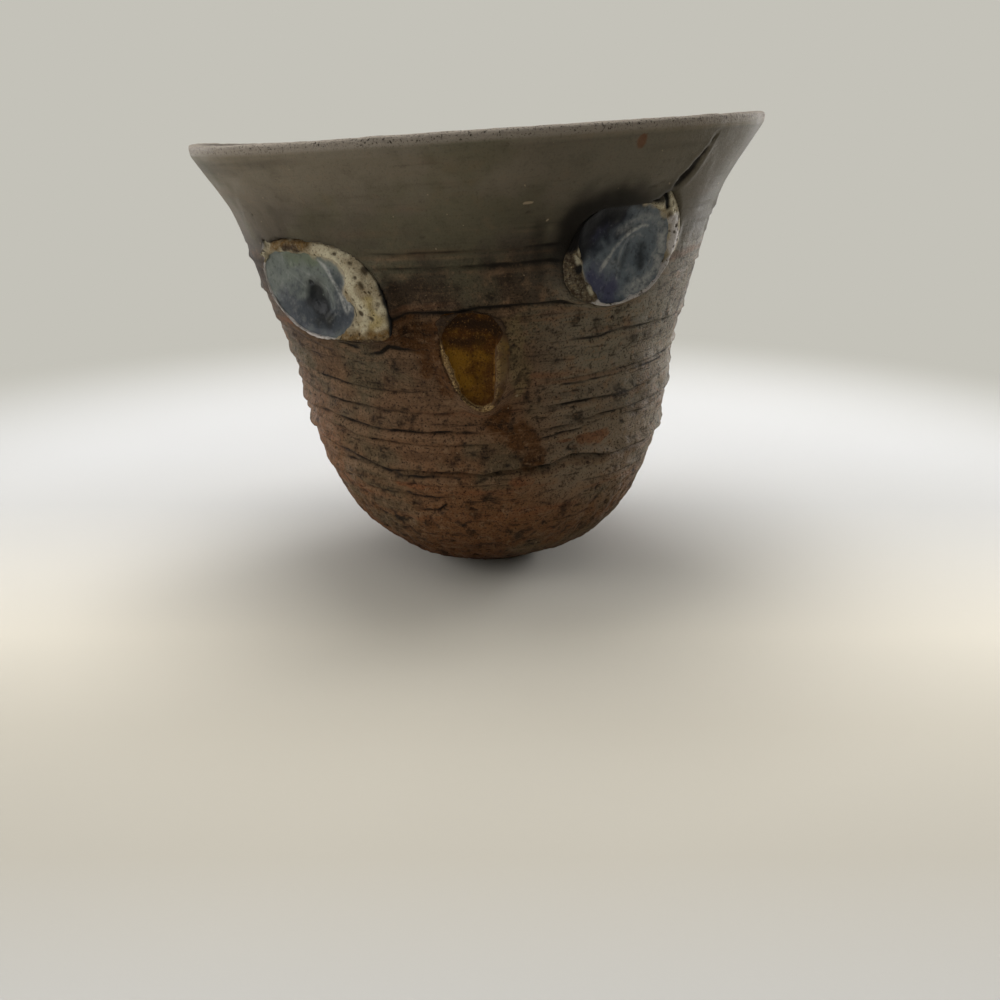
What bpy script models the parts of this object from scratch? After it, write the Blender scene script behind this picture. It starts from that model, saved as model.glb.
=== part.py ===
"""Hanging bird vase: a thrown stoneware wall vase with two glass-pooled eyes and a beak.

The vase stands on its foot: +Z is up, the face looks along -Y, +X is to the viewer's
right, and the origin is where the pot's turning axis meets the table. Sizes are in metres.

The pot frame is the upright frame that the wall was thrown in. Everything is shaped
there first, and set_down() then leans it the way the finished pot leans.
"""
import math

import bmesh
import bpy
from mathutils import Matrix, Vector

MM = 0.001

# The thrown wall: heights climb by stretches from the foot, each with its outer radius
FOOT_RADIUS = 14.1 * MM
FOOT_TO_HEEL = 8.0 * MM
HEEL_RADIUS = 30.2 * MM
HEEL_TO_HIP = 14.0 * MM
HIP_RADIUS = 42.2 * MM
HIP_TO_BELLY = 22.0 * MM
BELLY_RADIUS = 49.8 * MM
BELLY_TO_WAIST = 16.0 * MM
WAIST_RADIUS = 52.2 * MM
WAIST_TO_SHOULDER = 20.0 * MM
SHOULDER_RADIUS = 57.7 * MM
SHOULDER_TO_NECK = 18.0 * MM
NECK_RADIUS = 63.2 * MM
NECK_TO_LIP = 14.8 * MM
LIP_RADIUS = 72.4 * MM

# The lip is a nearly upright band that closes the flare
LIP_BAND = 3.4 * MM
LIP_ROUND = 1.0 * MM
LIP_WALL = 4.2 * MM
LIP_FLARE = 0.5 * MM
LIP_CREST_INSET = 1.7 * MM
LIP_INNER_DROP = 1.2 * MM

# Wall, floor and the clay trimmed off below the table to make the foot stand
WALL = 6.0 * MM
FLOOR = 7.0 * MM
FOOT_TRIM = 1.8 * MM
FOOT_TRIM_RADIUS = 11.0 * MM

# The vase leans to the viewer's left. Its rim tips a little further, sits a little to
# the right of the wall below it and rises at its left end.
LEAN = math.radians(3.2)
RIM_TILT = math.radians(0.5)
RIM_SHIFT = 1.3 * MM
RIM_RISE = 1.2 * MM

# The back is paddled flat to lie on a wall, with one hole to hang it by
BACK_FLAT = 44.0 * MM
BACK_CORNER = 7.0 * MM
HANGING_HOLE_RADIUS = 4.5 * MM
HANGING_HOLE_BELOW_RIM = 19.0 * MM

# The throwing lines that show most, from the foot up: height, depth and width
THROWING_LINES = (
    (30.4 * MM, 0.7 * MM, 2.2 * MM),
    (37.0 * MM, 1.3 * MM, 3.0 * MM),
    (44.6 * MM, 0.7 * MM, 2.0 * MM),
    (48.9 * MM, 0.9 * MM, 2.2 * MM),
    (54.1 * MM, 0.8 * MM, 2.2 * MM),
    (60.1 * MM, 0.9 * MM, 2.4 * MM),
    (69.8 * MM, 0.6 * MM, 2.2 * MM),
    (79.0 * MM, 1.1 * MM, 2.6 * MM),
    (88.0 * MM, 0.5 * MM, 2.2 * MM),
    (92.5 * MM, 0.5 * MM, 2.2 * MM),
)

# Gap kept between a piece and the socket that it was pressed or melted into
SEAT_GAP = 0.3 * MM
# Fired clay left between the bottom of a socket and the inside of the vase
CLAY_BEHIND_SOCKET = 3.2 * MM
# Clay left under a pool of glass, and the least depth that a pad is set into the wall
CLAY_UNDER_POOL = 1.2 * MM
PAD_BEDDING = 2.2 * MM
PAD_EDGE_ROUND = 0.9 * MM
RIM_CROWN = 0.5 * MM
GLASS_BELOW_RIM = 0.25 * MM
# How much the side of a hollow runs in for each unit of its depth
HOLLOW_DRAFT = 0.5
# The clay pushed in behind a socket fades out between these distances from the pad's
# middle, as shares of its half length
SWELL_CORE = 0.7
SWELL_REACH = 1.7
# How far a cutter reaches outside the wall
CUTTER_REACH = 12.0 * MM

# A pad is laid out around its pool of glass: half the pool's length and height, the
# width of the clay rim at each end and side, the roll of its long axis, how far its
# middle stands out of the wall, how much its face tips back to upright, and the share
# of the wall's curve that it flattens out. Its pinched tip has a direction and a size.
# The brow is the dent that pressing the pad in left in the wall on one side of it: its
# direction, its width beyond the pad and its depth at the pad's edge.
LEFT_EYE = {
    "azimuth": math.radians(-37.2),
    "height": 84.5 * MM,
    "pool_half_length": 15.2 * MM,
    "pool_half_height": 8.9 * MM,
    "pool_depth": 2.8 * MM,
    "pool_edge_depth": 1.6 * MM,
    "taper": 0.0,
    "rim_start": 1.2 * MM,
    "rim_end": 6.8 * MM,
    "rim_below": 1.3 * MM,
    "rim_above": 4.0 * MM,
    "roll": math.radians(-17.0),
    "stand": 1.1 * MM,
    "tip_back": math.radians(15.0),
    "flattening": 0.5,
    "tip_direction": math.radians(164.0),
    "tip_length": 3.6 * MM,
    "tip_width": math.radians(9.0),
    "brow_direction": math.radians(108.0),
    "brow_width": 4.5 * MM,
    "brow_depth": 1.3 * MM,
    "pupil_along": 3.4 * MM,
    "pupil_across": -0.6 * MM,
    "pupil_half_length": 5.2 * MM,
    "pupil_half_height": 3.8 * MM,
    "pupil_depth": 0.9 * MM,
    "meniscus": 0.6 * MM,
}
RIGHT_EYE = {
    "azimuth": math.radians(34.1),
    "height": 89.2 * MM,
    "pool_half_length": 12.8 * MM,
    "pool_half_height": 9.1 * MM,
    "pool_depth": 2.8 * MM,
    "pool_edge_depth": 1.6 * MM,
    "taper": 0.0,
    "rim_start": 4.8 * MM,
    "rim_end": 4.4 * MM,
    "rim_below": 1.3 * MM,
    "rim_above": 2.0 * MM,
    "roll": math.radians(20.0),
    "stand": 0.8 * MM,
    "tip_back": math.radians(14.0),
    "flattening": 0.5,
    "tip_direction": math.radians(32.0),
    "tip_length": 3.2 * MM,
    "tip_width": math.radians(11.0),
    "brow_direction": math.radians(112.0),
    "brow_width": 6.5 * MM,
    "brow_depth": 3.0 * MM,
    "pupil_along": 2.6 * MM,
    "pupil_across": -0.6 * MM,
    "pupil_half_length": 6.4 * MM,
    "pupil_half_height": 4.2 * MM,
    "pupil_depth": 0.6 * MM,
    "meniscus": 0.6 * MM,
}
# The beak is a tongue of clay hung from the ledge, with its long axis upright
BEAK = {
    "azimuth": math.radians(-0.6),
    "height": 67.2 * MM,
    "pool_half_length": 10.4 * MM,
    "pool_half_height": 6.0 * MM,
    "pool_depth": 2.2 * MM,
    "pool_edge_depth": 1.3 * MM,
    "taper": 0.26,
    "rim_start": 1.6 * MM,
    "rim_end": 1.3 * MM,
    "rim_below": 1.3 * MM,
    "rim_above": 1.3 * MM,
    "roll": math.radians(96.0),
    "stand": 2.0 * MM,
    "tip_back": math.radians(11.0),
    "flattening": 0.2,
    "tip_direction": 0.0,
    "tip_length": 0.0,
    "tip_width": math.radians(10.0),
    "brow_direction": 0.0,
    "brow_width": 1.6 * MM,
    "brow_depth": 0.9 * MM,
    "pupil_along": -3.0 * MM,
    "pupil_across": 0.0,
    "pupil_half_length": 4.6 * MM,
    "pupil_half_height": 2.6 * MM,
    "pupil_depth": 0.5 * MM,
    "meniscus": 0.5 * MM,
}

# The drying crack that climbs from the right eye's tip to the rim. Each point is its
# distance along the wall from the tip, its distance above it and half the crack's width.
# It is drawn at its real size, and grows or shrinks to climb its share of the wall that
# is left between the tip and the rim.
CRACK = (
    (-3.4 * MM, 0.4 * MM, 0.3 * MM),
    (-2.4 * MM, 2.2 * MM, 0.85 * MM),
    (-1.5 * MM, 3.9 * MM, 0.75 * MM),
    (-0.9 * MM, 5.6 * MM, 0.5 * MM),
    (-0.5 * MM, 7.2 * MM, 0.45 * MM),
    (0.0, 9.2 * MM, 0.2 * MM),
)
CRACK_CLIMB = 0.6071
CRACK_DEPTH = 1.8 * MM

# Facets
WALL_SEGMENTS = 56
WALL_STEP = 5.0 * MM
PAD_SEGMENTS = 36
HOLE_SEGMENTS = 24
SMOOTH_ANGLE = math.radians(50.0)

# Heights of the profile's stations, and of the rim
HEEL = FOOT_TO_HEEL
HIP = HEEL + HEEL_TO_HIP
BELLY = HIP + HIP_TO_BELLY
WAIST = BELLY + BELLY_TO_WAIST
SHOULDER = WAIST + WAIST_TO_SHOULDER
NECK = SHOULDER + SHOULDER_TO_NECK
LIP = NECK + NECK_TO_LIP
RIM = LIP + LIP_BAND
STATIONS = (
    (-FOOT_TRIM, FOOT_TRIM_RADIUS),
    (0.0, FOOT_RADIUS),
    (HEEL, HEEL_RADIUS),
    (HIP, HIP_RADIUS),
    (BELLY, BELLY_RADIUS),
    (WAIST, WAIST_RADIUS),
    (SHOULDER, SHOULDER_RADIUS),
    (NECK, NECK_RADIUS),
    (LIP, LIP_RADIUS),
)


def clear_scene():
    """Remove every object that the file opened with."""
    for obj in list(bpy.data.objects):
        bpy.data.objects.remove(obj, do_unlink=True)


def smooth_ramp(start, end, value):
    """Rise from 0 at start to 1 at end with level ends."""
    t = min(max((value - start) / (end - start), 0.0), 1.0)
    return t * t * (3.0 - 2.0 * t)


def station_slope(index):
    """Slope of the profile at a station: the harmonic mean of its two sides."""
    def side(low):
        (z0, r0), (z1, r1) = STATIONS[low], STATIONS[low + 1]
        return (r1 - r0) / (z1 - z0)

    if index == 0:
        return side(0)
    if index == len(STATIONS) - 1:
        return side(index - 1)
    below, above = side(index - 1), side(index)
    if below * above <= 0.0:
        return 0.0
    return 2.0 * below * above / (below + above)


def outer_radius(height):
    """Radius of the smooth outside of the wall, a cubic curve through the stations."""
    height = min(max(height, STATIONS[0][0]), STATIONS[-1][0])
    index = 0
    while index < len(STATIONS) - 2 and height > STATIONS[index + 1][0]:
        index += 1
    (z0, r0), (z1, r1) = STATIONS[index], STATIONS[index + 1]
    span = z1 - z0
    t = (height - z0) / span
    slope0, slope1 = station_slope(index) * span, station_slope(index + 1) * span
    rise = t * t * (3.0 - 2.0 * t)
    return (r0 + (r1 - r0) * rise + slope0 * t * (1.0 - t) ** 2
            - slope1 * t * t * (1.0 - t))


def wall_slope(height):
    """Angle by which the outside of the wall faces down at a height."""
    step = 0.5 * MM
    low, high = height - step, height + step
    return math.atan2(outer_radius(high) - outer_radius(low), high - low)


def wall_thickness(height):
    """The wall thins from its full thickness at the neck to the lip."""
    return WALL + (LIP_WALL - WALL) * smooth_ramp(SHOULDER, LIP, height)


def throwing_line_depth(height):
    """Depth of the throwing lines below the smooth outside at a height."""
    depth = 0.0
    for line_height, line_depth, line_width in THROWING_LINES:
        reach = abs(height - line_height) / (0.5 * line_width)
        if reach < 1.0:
            depth += line_depth * (1.0 - reach)
    return depth


def outer_heights():
    """Heights of the rings outside: the stations, an even spacing and every line."""
    heights = [height for height, _ in STATIONS]
    for line_height, _, line_width in THROWING_LINES:
        for offset in (-0.5, 0.0, 0.5):
            heights.append(line_height + offset * line_width)
    spare = [index * WALL_STEP for index in range(1, int(LIP / WALL_STEP))]
    for height in spare:
        if min(abs(height - other) for other in heights) > 0.4 * WALL_STEP:
            heights.append(height)
    inside = sorted(height for height in heights if height <= LIP)
    kept = inside[:1]
    for height in inside[1:]:
        if height - kept[-1] > 0.25 * MM:
            kept.append(height)
    return kept


def wall_profile():
    """The turned outline from the foot's middle over the lip to the floor's middle.

    Each point is its radius, its height and its depth behind the outer surface.
    """
    points = [(0.0, -FOOT_TRIM, 0.0)]
    for height in outer_heights():
        radius = outer_radius(height) - throwing_line_depth(height)
        points.append((radius, height, 0.0))
    crest = LIP_RADIUS + LIP_FLARE
    points.append((crest, RIM - LIP_ROUND, 0.0))
    points.append((crest - LIP_ROUND, RIM, LIP_CREST_INSET))
    slope = wall_slope(LIP)
    inner_lip = LIP_RADIUS - LIP_WALL * math.cos(slope)
    points.append((inner_lip, RIM - LIP_INNER_DROP, LIP_WALL))

    height = LIP - WALL_STEP
    while height > 0.0:
        slope = wall_slope(height)
        thickness = wall_thickness(height)
        radius = outer_radius(height) - thickness * math.cos(slope)
        raised = height + thickness * math.sin(slope)
        if raised < FLOOR + 0.5 * MM or radius < 2.0 * MM:
            break
        if raised < points[-1][1] - 0.5 * MM:
            points.append((radius, raised, thickness))
        height -= WALL_STEP
    points.append((0.75 * points[-1][0], FLOOR, WALL))
    points.append((0.0, FLOOR, WALL))
    return points


def paddled(y, depth):
    """Press the back flat: level past the paddle's plane, with a soft corner."""
    plane = BACK_FLAT - depth
    over = y - (plane - BACK_CORNER)
    if over <= 0.0:
        return y
    if over >= 2.0 * BACK_CORNER:
        return plane
    return y - over * over / (4.0 * BACK_CORNER)


def set_down(point):
    """Take a point of the pot frame to where it is on the leaning vase."""
    x, y, z = point
    rising = smooth_ramp(SHOULDER, RIM, z)
    leftward = max(-x / LIP_RADIUS, 0.0)
    z += (x * math.tan(RIM_TILT) + RIM_RISE * leftward ** 6) * rising
    x += RIM_SHIFT * rising
    return Matrix.Rotation(-LEAN, 3, "Y") @ Vector((x, y, z))


def on_wall(azimuth, height, stand):
    """A point that stands off the smooth outside of the wall, square to it."""
    slope = wall_slope(height)
    radius = outer_radius(height) + stand * math.cos(slope)
    z = height - stand * math.sin(slope)
    return set_down((radius * math.sin(azimuth), -radius * math.cos(azimuth), z))


class Pad:
    """A pad of clay that is let into the wall and holds a pool of glass.

    Its own axes lie in the wall at the pad's middle: u runs to the viewer's right and
    v runs up, both rolled by the pad's roll where along and across are named.
    """

    def __init__(self, sizes):
        self.sizes = sizes
        self.radius = outer_radius(sizes["height"])
        self.slope = wall_slope(sizes["height"])
        self.half_length = sizes["pool_half_length"] + 0.5 * (sizes["rim_start"] + sizes["rim_end"])
        self.half_height = sizes["pool_half_height"] + 0.5 * (sizes["rim_below"] + sizes["rim_above"])
        self.pool_middle = (
            0.5 * (sizes["rim_start"] - sizes["rim_end"]),
            0.5 * (sizes["rim_below"] - sizes["rim_above"]),
        )
        self.reach_up = max(v for _, v in self.rim_outline())
        self.reach_down = min(v for _, v in self.rim_outline())

    def rolled(self, along, across):
        """Turn a point of the pad's own axes by its roll."""
        roll = self.sizes["roll"]
        u = along * math.cos(roll) - across * math.sin(roll)
        v = along * math.sin(roll) + across * math.cos(roll)
        return u, v

    def oval(self, middle, half_length, half_height, tip=False):
        """An oval as a loop of points: a taper narrows its start, a tip is pinched out."""
        loop = []
        for index in range(PAD_SEGMENTS):
            angle = 2.0 * math.pi * index / PAD_SEGMENTS
            narrow = 1.0 + self.sizes["taper"] * math.cos(angle)
            along = half_length * math.cos(angle)
            across = half_height * narrow * math.sin(angle)
            if tip:
                turn = (angle - self.sizes["tip_direction"] + math.pi) % (2.0 * math.pi) - math.pi
                pinch = self.sizes["tip_length"] * math.exp(-(turn / self.sizes["tip_width"]) ** 2)
                along += pinch * math.cos(self.sizes["tip_direction"])
                across += pinch * math.sin(self.sizes["tip_direction"])
            loop.append(self.rolled(middle[0] + along, middle[1] + across))
        return loop

    def rim_outline(self):
        """Outer edge of the clay pad."""
        return self.oval((0.0, 0.0), self.half_length, self.half_height, tip=True)

    def brow_shares(self):
        """How much of the brow's dent reaches each point of the rim's outline."""
        shares = []
        for index in range(PAD_SEGMENTS):
            turn = 2.0 * math.pi * index / PAD_SEGMENTS - self.sizes["brow_direction"]
            shares.append(max(math.cos(turn), 0.0))
        return shares

    def tip(self):
        """The far end of the pinched tip."""
        direction, length = self.sizes["tip_direction"], self.sizes["tip_length"]
        along = (self.half_length + length) * math.cos(direction)
        across = (self.half_height + length) * math.sin(direction)
        return self.rolled(along, across)

    def pool_outline(self):
        """Edge of the hollow that the glass lies in."""
        sizes = self.sizes
        return self.oval(self.pool_middle, sizes["pool_half_length"], sizes["pool_half_height"])

    def pupil_outline(self, share):
        """An oval inside the pool where a finger pressed it deeper."""
        sizes = self.sizes
        middle = (self.pool_middle[0] + sizes["pupil_along"], self.pool_middle[1] + sizes["pupil_across"])
        return self.oval(middle, share * sizes["pupil_half_length"], share * sizes["pupil_half_height"])

    def face(self, u, v):
        """How far the pad's face stands out of the wall."""
        lift = self.sizes["stand"] - v * math.tan(self.sizes["tip_back"])
        return lift + self.sizes["flattening"] * u * u / (2.0 * self.radius)

    def back(self, u, v):
        """How far the pad's back lies from the wall's outside, below it."""
        top_face = self.sizes["stand"] - self.reach_up * math.tan(self.sizes["tip_back"])
        top = min(top_face - self.sizes["pool_edge_depth"] - CLAY_UNDER_POOL, -PAD_BEDDING)
        share = (v - self.reach_down) / (self.reach_up - self.reach_down)
        bed = top * share - PAD_BEDDING * (1.0 - share)
        return min(bed, self.sizes["stand"] - self.sizes["pool_depth"] - CLAY_UNDER_POOL)

    def socket_depth(self):
        """Greatest depth of the pad's socket below the wall's outside."""
        return SEAT_GAP - min(self.back(u, v) for u, v in self.rim_outline())

    def place(self, u, v, stand):
        """A point of the pad in the world."""
        azimuth = self.sizes["azimuth"] + u / self.radius
        height = self.sizes["height"] + v * math.cos(self.slope)
        return on_wall(azimuth, height, stand)

    def ring(self, outline, surface, stand=0.0):
        """Place a loop of points at a distance above one of the pad's surfaces."""
        return [self.place(u, v, surface(u, v) + stand) for u, v in outline]


def grown(outline, distance, shares=None):
    """Move every point of a loop outwards, square to the loop, by its share if given."""
    moved = []
    count = len(outline)
    for index, (u, v) in enumerate(outline):
        ahead = outline[(index + 1) % count]
        behind = outline[index - 1]
        du, dv = ahead[0] - behind[0], ahead[1] - behind[1]
        step = distance / math.hypot(du, dv)
        if shares is not None:
            step *= shares[index]
        moved.append((u + step * dv, v - step * du))
    return moved


def between(first, second, share):
    """A loop part of the way from one loop to another."""
    return [((1.0 - share) * u0 + share * u1, (1.0 - share) * v0 + share * v1)
            for (u0, v0), (u1, v1) in zip(first, second)]


def middle_of(outline):
    """The middle of a loop of points."""
    count = len(outline)
    return sum(u for u, _ in outline) / count, sum(v for _, v in outline) / count


def new_material(name, colour, roughness, coat=0.0):
    """A plain finish: base colour, roughness and an optional glassy coat."""
    material = bpy.data.materials.new(name)
    material.use_nodes = True
    shader = material.node_tree.nodes["Principled BSDF"]
    shader.inputs["Base Color"].default_value = (*colour, 1.0)
    shader.inputs["Roughness"].default_value = roughness
    shader.inputs["Metallic"].default_value = 0.0
    shader.inputs["Coat Weight"].default_value = coat
    material.diffuse_color = (*colour, 1.0)
    return material


def new_object(name, bm, material=None):
    """Give a finished bmesh its own object."""
    bmesh.ops.recalc_face_normals(bm, faces=bm.faces)
    mesh = bpy.data.meshes.new(name)
    bm.to_mesh(mesh)
    bm.free()
    mesh.shade_smooth()
    mesh.set_sharp_from_angle(angle=SMOOTH_ANGLE)
    obj = bpy.data.objects.new(name, mesh)
    bpy.context.scene.collection.objects.link(obj)
    if material is not None:
        mesh.materials.append(material)
    return obj


def mark_as_cutter(obj):
    """Keep a cutting shape out of the finished model."""
    obj.hide_render = True
    obj.display_type = "WIRE"


def cut_from(target, cutter):
    """Subtract a cutter from a solid."""
    modifier = target.modifiers.new("cut " + cutter.name, "BOOLEAN")
    modifier.operation = "DIFFERENCE"
    modifier.solver = "EXACT"
    modifier.object = cutter


def skin(rings, start, end):
    """Close a row of rings of points into one solid, from a start point to an end point."""
    bm = bmesh.new()
    loops = [[bm.verts.new(point) for point in ring] for ring in rings]
    first, last = bm.verts.new(start), bm.verts.new(end)
    count = len(loops[0])
    for index in range(count):
        following = (index + 1) % count
        bm.faces.new((first, loops[0][following], loops[0][index]))
        for lower, upper in zip(loops, loops[1:]):
            bm.faces.new((lower[index], lower[following], upper[following], upper[index]))
        bm.faces.new((last, loops[-1][index], loops[-1][following]))
    return bm


def pushed_in(azimuth, height, pads):
    """How far the inside of the wall swells behind the sockets at a place."""
    swell = 0.0
    for pad in pads:
        needed = pad.socket_depth() + CLAY_BEHIND_SOCKET - wall_thickness(pad.sizes["height"])
        u = (azimuth - pad.sizes["azimuth"]) * pad.radius
        v = (height - pad.sizes["height"]) / math.cos(pad.slope)
        spread = math.hypot(u, v) / pad.half_length
        swell = max(swell, max(needed, 0.0) * (1.0 - smooth_ramp(SWELL_CORE, SWELL_REACH, spread)))
    return swell


def make_pot_body(pads, material):
    """Throw the wall by spinning its profile, then paddle, lean and trim it."""
    bm = bmesh.new()
    depth_layer = bm.verts.layers.float.new("depth")
    profile = []
    for radius, height, depth in wall_profile():
        vert = bm.verts.new((0.0, -radius, height))
        vert[depth_layer] = depth
        profile.append(vert)
    edges = [bm.edges.new(pair) for pair in zip(profile, profile[1:])]
    bmesh.ops.spin(bm, geom=profile + edges, cent=(0.0, 0.0, 0.0), axis=(0.0, 0.0, 1.0),
                   angle=2.0 * math.pi, steps=WALL_SEGMENTS, use_merge=True)
    bmesh.ops.remove_doubles(bm, verts=bm.verts, dist=0.01 * MM)

    for vert in bm.verts:
        x, y, z = vert.co
        depth = vert[depth_layer]
        if depth > 0.5 * LIP_WALL:
            radius, azimuth = math.hypot(x, y), math.atan2(x, -y)
            radius -= pushed_in(azimuth, z, pads)
            x, y = radius * math.sin(azimuth), -radius * math.cos(azimuth)
        vert.co = set_down((x, paddled(y, depth), z))

    whole = list(bm.verts) + list(bm.edges) + list(bm.faces)
    trimmed = bmesh.ops.bisect_plane(bm, geom=whole, dist=0.001 * MM, plane_co=(0.0, 0.0, 0.0),
                                     plane_no=(0.0, 0.0, -1.0), clear_outer=True)
    rim_edges = [item for item in trimmed["geom_cut"] if isinstance(item, bmesh.types.BMEdge)]
    bmesh.ops.contextual_create(bm, geom=rim_edges)
    return new_object("pot_body", bm, material)


def make_socket_cutter(name, pad):
    """The pad's outline with its seat gap, from the socket's floor to clear of the wall.

    Towards the brow it widens as it rises, which leaves the dent that the pad lies in.
    """
    outline = grown(pad.rim_outline(), SEAT_GAP)
    middle = middle_of(outline)
    shares = pad.brow_shares()
    width, depth = pad.sizes["brow_width"], pad.sizes["brow_depth"]
    dent_edge = [-SEAT_GAP - depth * share for share in shares]
    dent_side = [0.4 * stand for stand in dent_edge]
    brow = grown(outline, width, shares)
    rings = [
        pad.ring(outline, pad.back, -SEAT_GAP),
        [pad.place(u, v, stand) for (u, v), stand in zip(outline, dent_edge)],
        [pad.place(u, v, stand) for (u, v), stand in zip(between(outline, brow, 0.5), dent_side)],
        [pad.place(u, v, 0.0) for u, v in brow],
        [pad.place(u, v, CUTTER_REACH) for u, v in brow],
    ]
    start = pad.place(*middle, pad.back(*middle) - SEAT_GAP)
    end = pad.place(*middle, CUTTER_REACH)
    cutter = new_object(name + "_socket_cutter", skin(rings, start, end))
    mark_as_cutter(cutter)
    return cutter


def make_crack_cutter(pad):
    """A wedge that opens the wall along the crack, from the tip of a pad."""
    tip_u, tip_v = pad.tip()
    wall_above = (RIM - pad.sizes["height"]) / math.cos(pad.slope) - tip_v
    stretch = CRACK_CLIMB * wall_above / CRACK[-1][1]
    spine, right, left = [], [], []
    for along, above, half_width in CRACK:
        u, v = tip_u + stretch * along, tip_v + stretch * above
        spine.append((u, v))
        right.append((u + stretch * half_width, v))
        left.append((u - stretch * half_width, v))
    mouth = right + left[::-1]
    middle = middle_of(mouth)
    root = between(mouth, spine + spine[::-1], 0.6)
    rings = [
        [pad.place(u, v, -CRACK_DEPTH) for u, v in root],
        [pad.place(u, v, 0.0) for u, v in mouth],
        [pad.place(u, v, CUTTER_REACH) for u, v in mouth],
    ]
    start = pad.place(*middle, -CRACK_DEPTH)
    end = pad.place(*middle, CUTTER_REACH)
    cutter = new_object("crack_cutter", skin(rings, start, end))
    mark_as_cutter(cutter)
    return cutter


def make_clay(name, pad, material):
    """The clay pad: a rounded edge, a crowned rim and the hollow for the glass."""
    sizes = pad.sizes
    outline = pad.rim_outline()
    face_edge = grown(outline, -PAD_EDGE_ROUND)
    mouth = pad.pool_outline()
    hollow_foot = grown(mouth, -HOLLOW_DRAFT * sizes["pool_edge_depth"])
    hollow_middle = middle_of(mouth)
    rings = [
        pad.ring(face_edge, pad.back),
        pad.ring(outline, pad.back, PAD_EDGE_ROUND),
        pad.ring(outline, pad.face, -PAD_EDGE_ROUND),
        pad.ring(between(outline, face_edge, 0.6), pad.face, -0.2 * PAD_EDGE_ROUND),
        pad.ring(between(face_edge, mouth, 0.5), pad.face, RIM_CROWN),
        pad.ring(mouth, pad.face),
        pad.ring(hollow_foot, pad.face, -sizes["pool_edge_depth"]),
    ]
    middle = middle_of(outline)
    start = pad.place(*middle, pad.back(*middle))
    end = pad.place(*hollow_middle, pad.face(*hollow_middle) - sizes["pool_depth"])
    return new_object(name, skin(rings, start, end), material)


def make_glass(name, pad, material):
    """The pool of glass: it fills the hollow up to a meniscus, with a pressed pupil."""
    sizes = pad.sizes
    edge = grown(pad.pool_outline(), -HOLLOW_DRAFT * GLASS_BELOW_RIM - SEAT_GAP)
    foot = grown(pad.pool_outline(), -HOLLOW_DRAFT * sizes["pool_edge_depth"] - SEAT_GAP)
    pupil_rim, pupil_floor = pad.pupil_outline(1.0), pad.pupil_outline(0.45)
    sunk = GLASS_BELOW_RIM + sizes["meniscus"]
    rings = [
        pad.ring(foot, pad.face, SEAT_GAP - sizes["pool_edge_depth"]),
        pad.ring(edge, pad.face, -GLASS_BELOW_RIM),
        pad.ring(between(edge, pupil_rim, 0.35), pad.face, -0.8 * sunk),
        pad.ring(pupil_rim, pad.face, -sunk),
        pad.ring(pupil_floor, pad.face, -sunk - 0.85 * sizes["pupil_depth"]),
    ]
    middle = middle_of(pad.pool_outline())
    pupil_middle = middle_of(pupil_floor)
    start = pad.place(*middle, pad.face(*middle) - sizes["pool_depth"] + SEAT_GAP)
    end = pad.place(*pupil_middle, pad.face(*pupil_middle) - sunk - sizes["pupil_depth"])
    return new_object(name, skin(rings, start, end), material)


def make_hanging_hole_cutter():
    """A straight bore through the flat back, below the rim."""
    bm = bmesh.new()
    length = 4.0 * WALL
    bmesh.ops.create_cone(bm, cap_ends=True, segments=HOLE_SEGMENTS, radius1=HANGING_HOLE_RADIUS,
                          radius2=HANGING_HOLE_RADIUS, depth=length)
    cutter = new_object("hanging_hole_cutter", bm)
    cutter.rotation_euler = (math.radians(90.0), 0.0, 0.0)
    cutter.location = set_down((0.0, BACK_FLAT - 0.5 * WALL, RIM - HANGING_HOLE_BELOW_RIM))
    mark_as_cutter(cutter)
    return cutter


def main():
    clear_scene()
    stoneware = new_material("reduced stoneware", (0.060, 0.048, 0.036), 0.85)
    eye_clay = new_material("white slip clay", (0.42, 0.36, 0.24), 0.75)
    beak_clay = new_material("sandy slip clay", (0.22, 0.15, 0.08), 0.8)
    eye_glass = new_material("blue grey melted glass", (0.075, 0.095, 0.13), 0.12, coat=1.0)
    beak_glass = new_material("amber melted glass", (0.21, 0.095, 0.012), 0.15, coat=1.0)

    left_eye, right_eye, beak = Pad(LEFT_EYE), Pad(RIGHT_EYE), Pad(BEAK)
    pot_body = make_pot_body((left_eye, right_eye, beak), stoneware)
    for name, pad, clay, glass in (
        ("left_eye", left_eye, eye_clay, eye_glass),
        ("right_eye", right_eye, eye_clay, eye_glass),
        ("beak", beak, beak_clay, beak_glass),
    ):
        cut_from(pot_body, make_socket_cutter(name, pad))
        make_clay(name + "_clay", pad, clay)
        make_glass(name + "_glass", pad, glass)
    cut_from(pot_body, make_crack_cutter(right_eye))
    cut_from(pot_body, make_hanging_hole_cutter())


main()
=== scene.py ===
"""Looks of the hanging bird vase: a thrown stoneware wall vase with glass-pooled eyes and a beak.

The file is laid out as an add-on and run as a script. Sizes are in metres, in the frame of
the CAD model: +Z is up, the face looks along -Y and +X is to the viewer's right.
"""
import itertools
import math
from functools import partial

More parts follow.
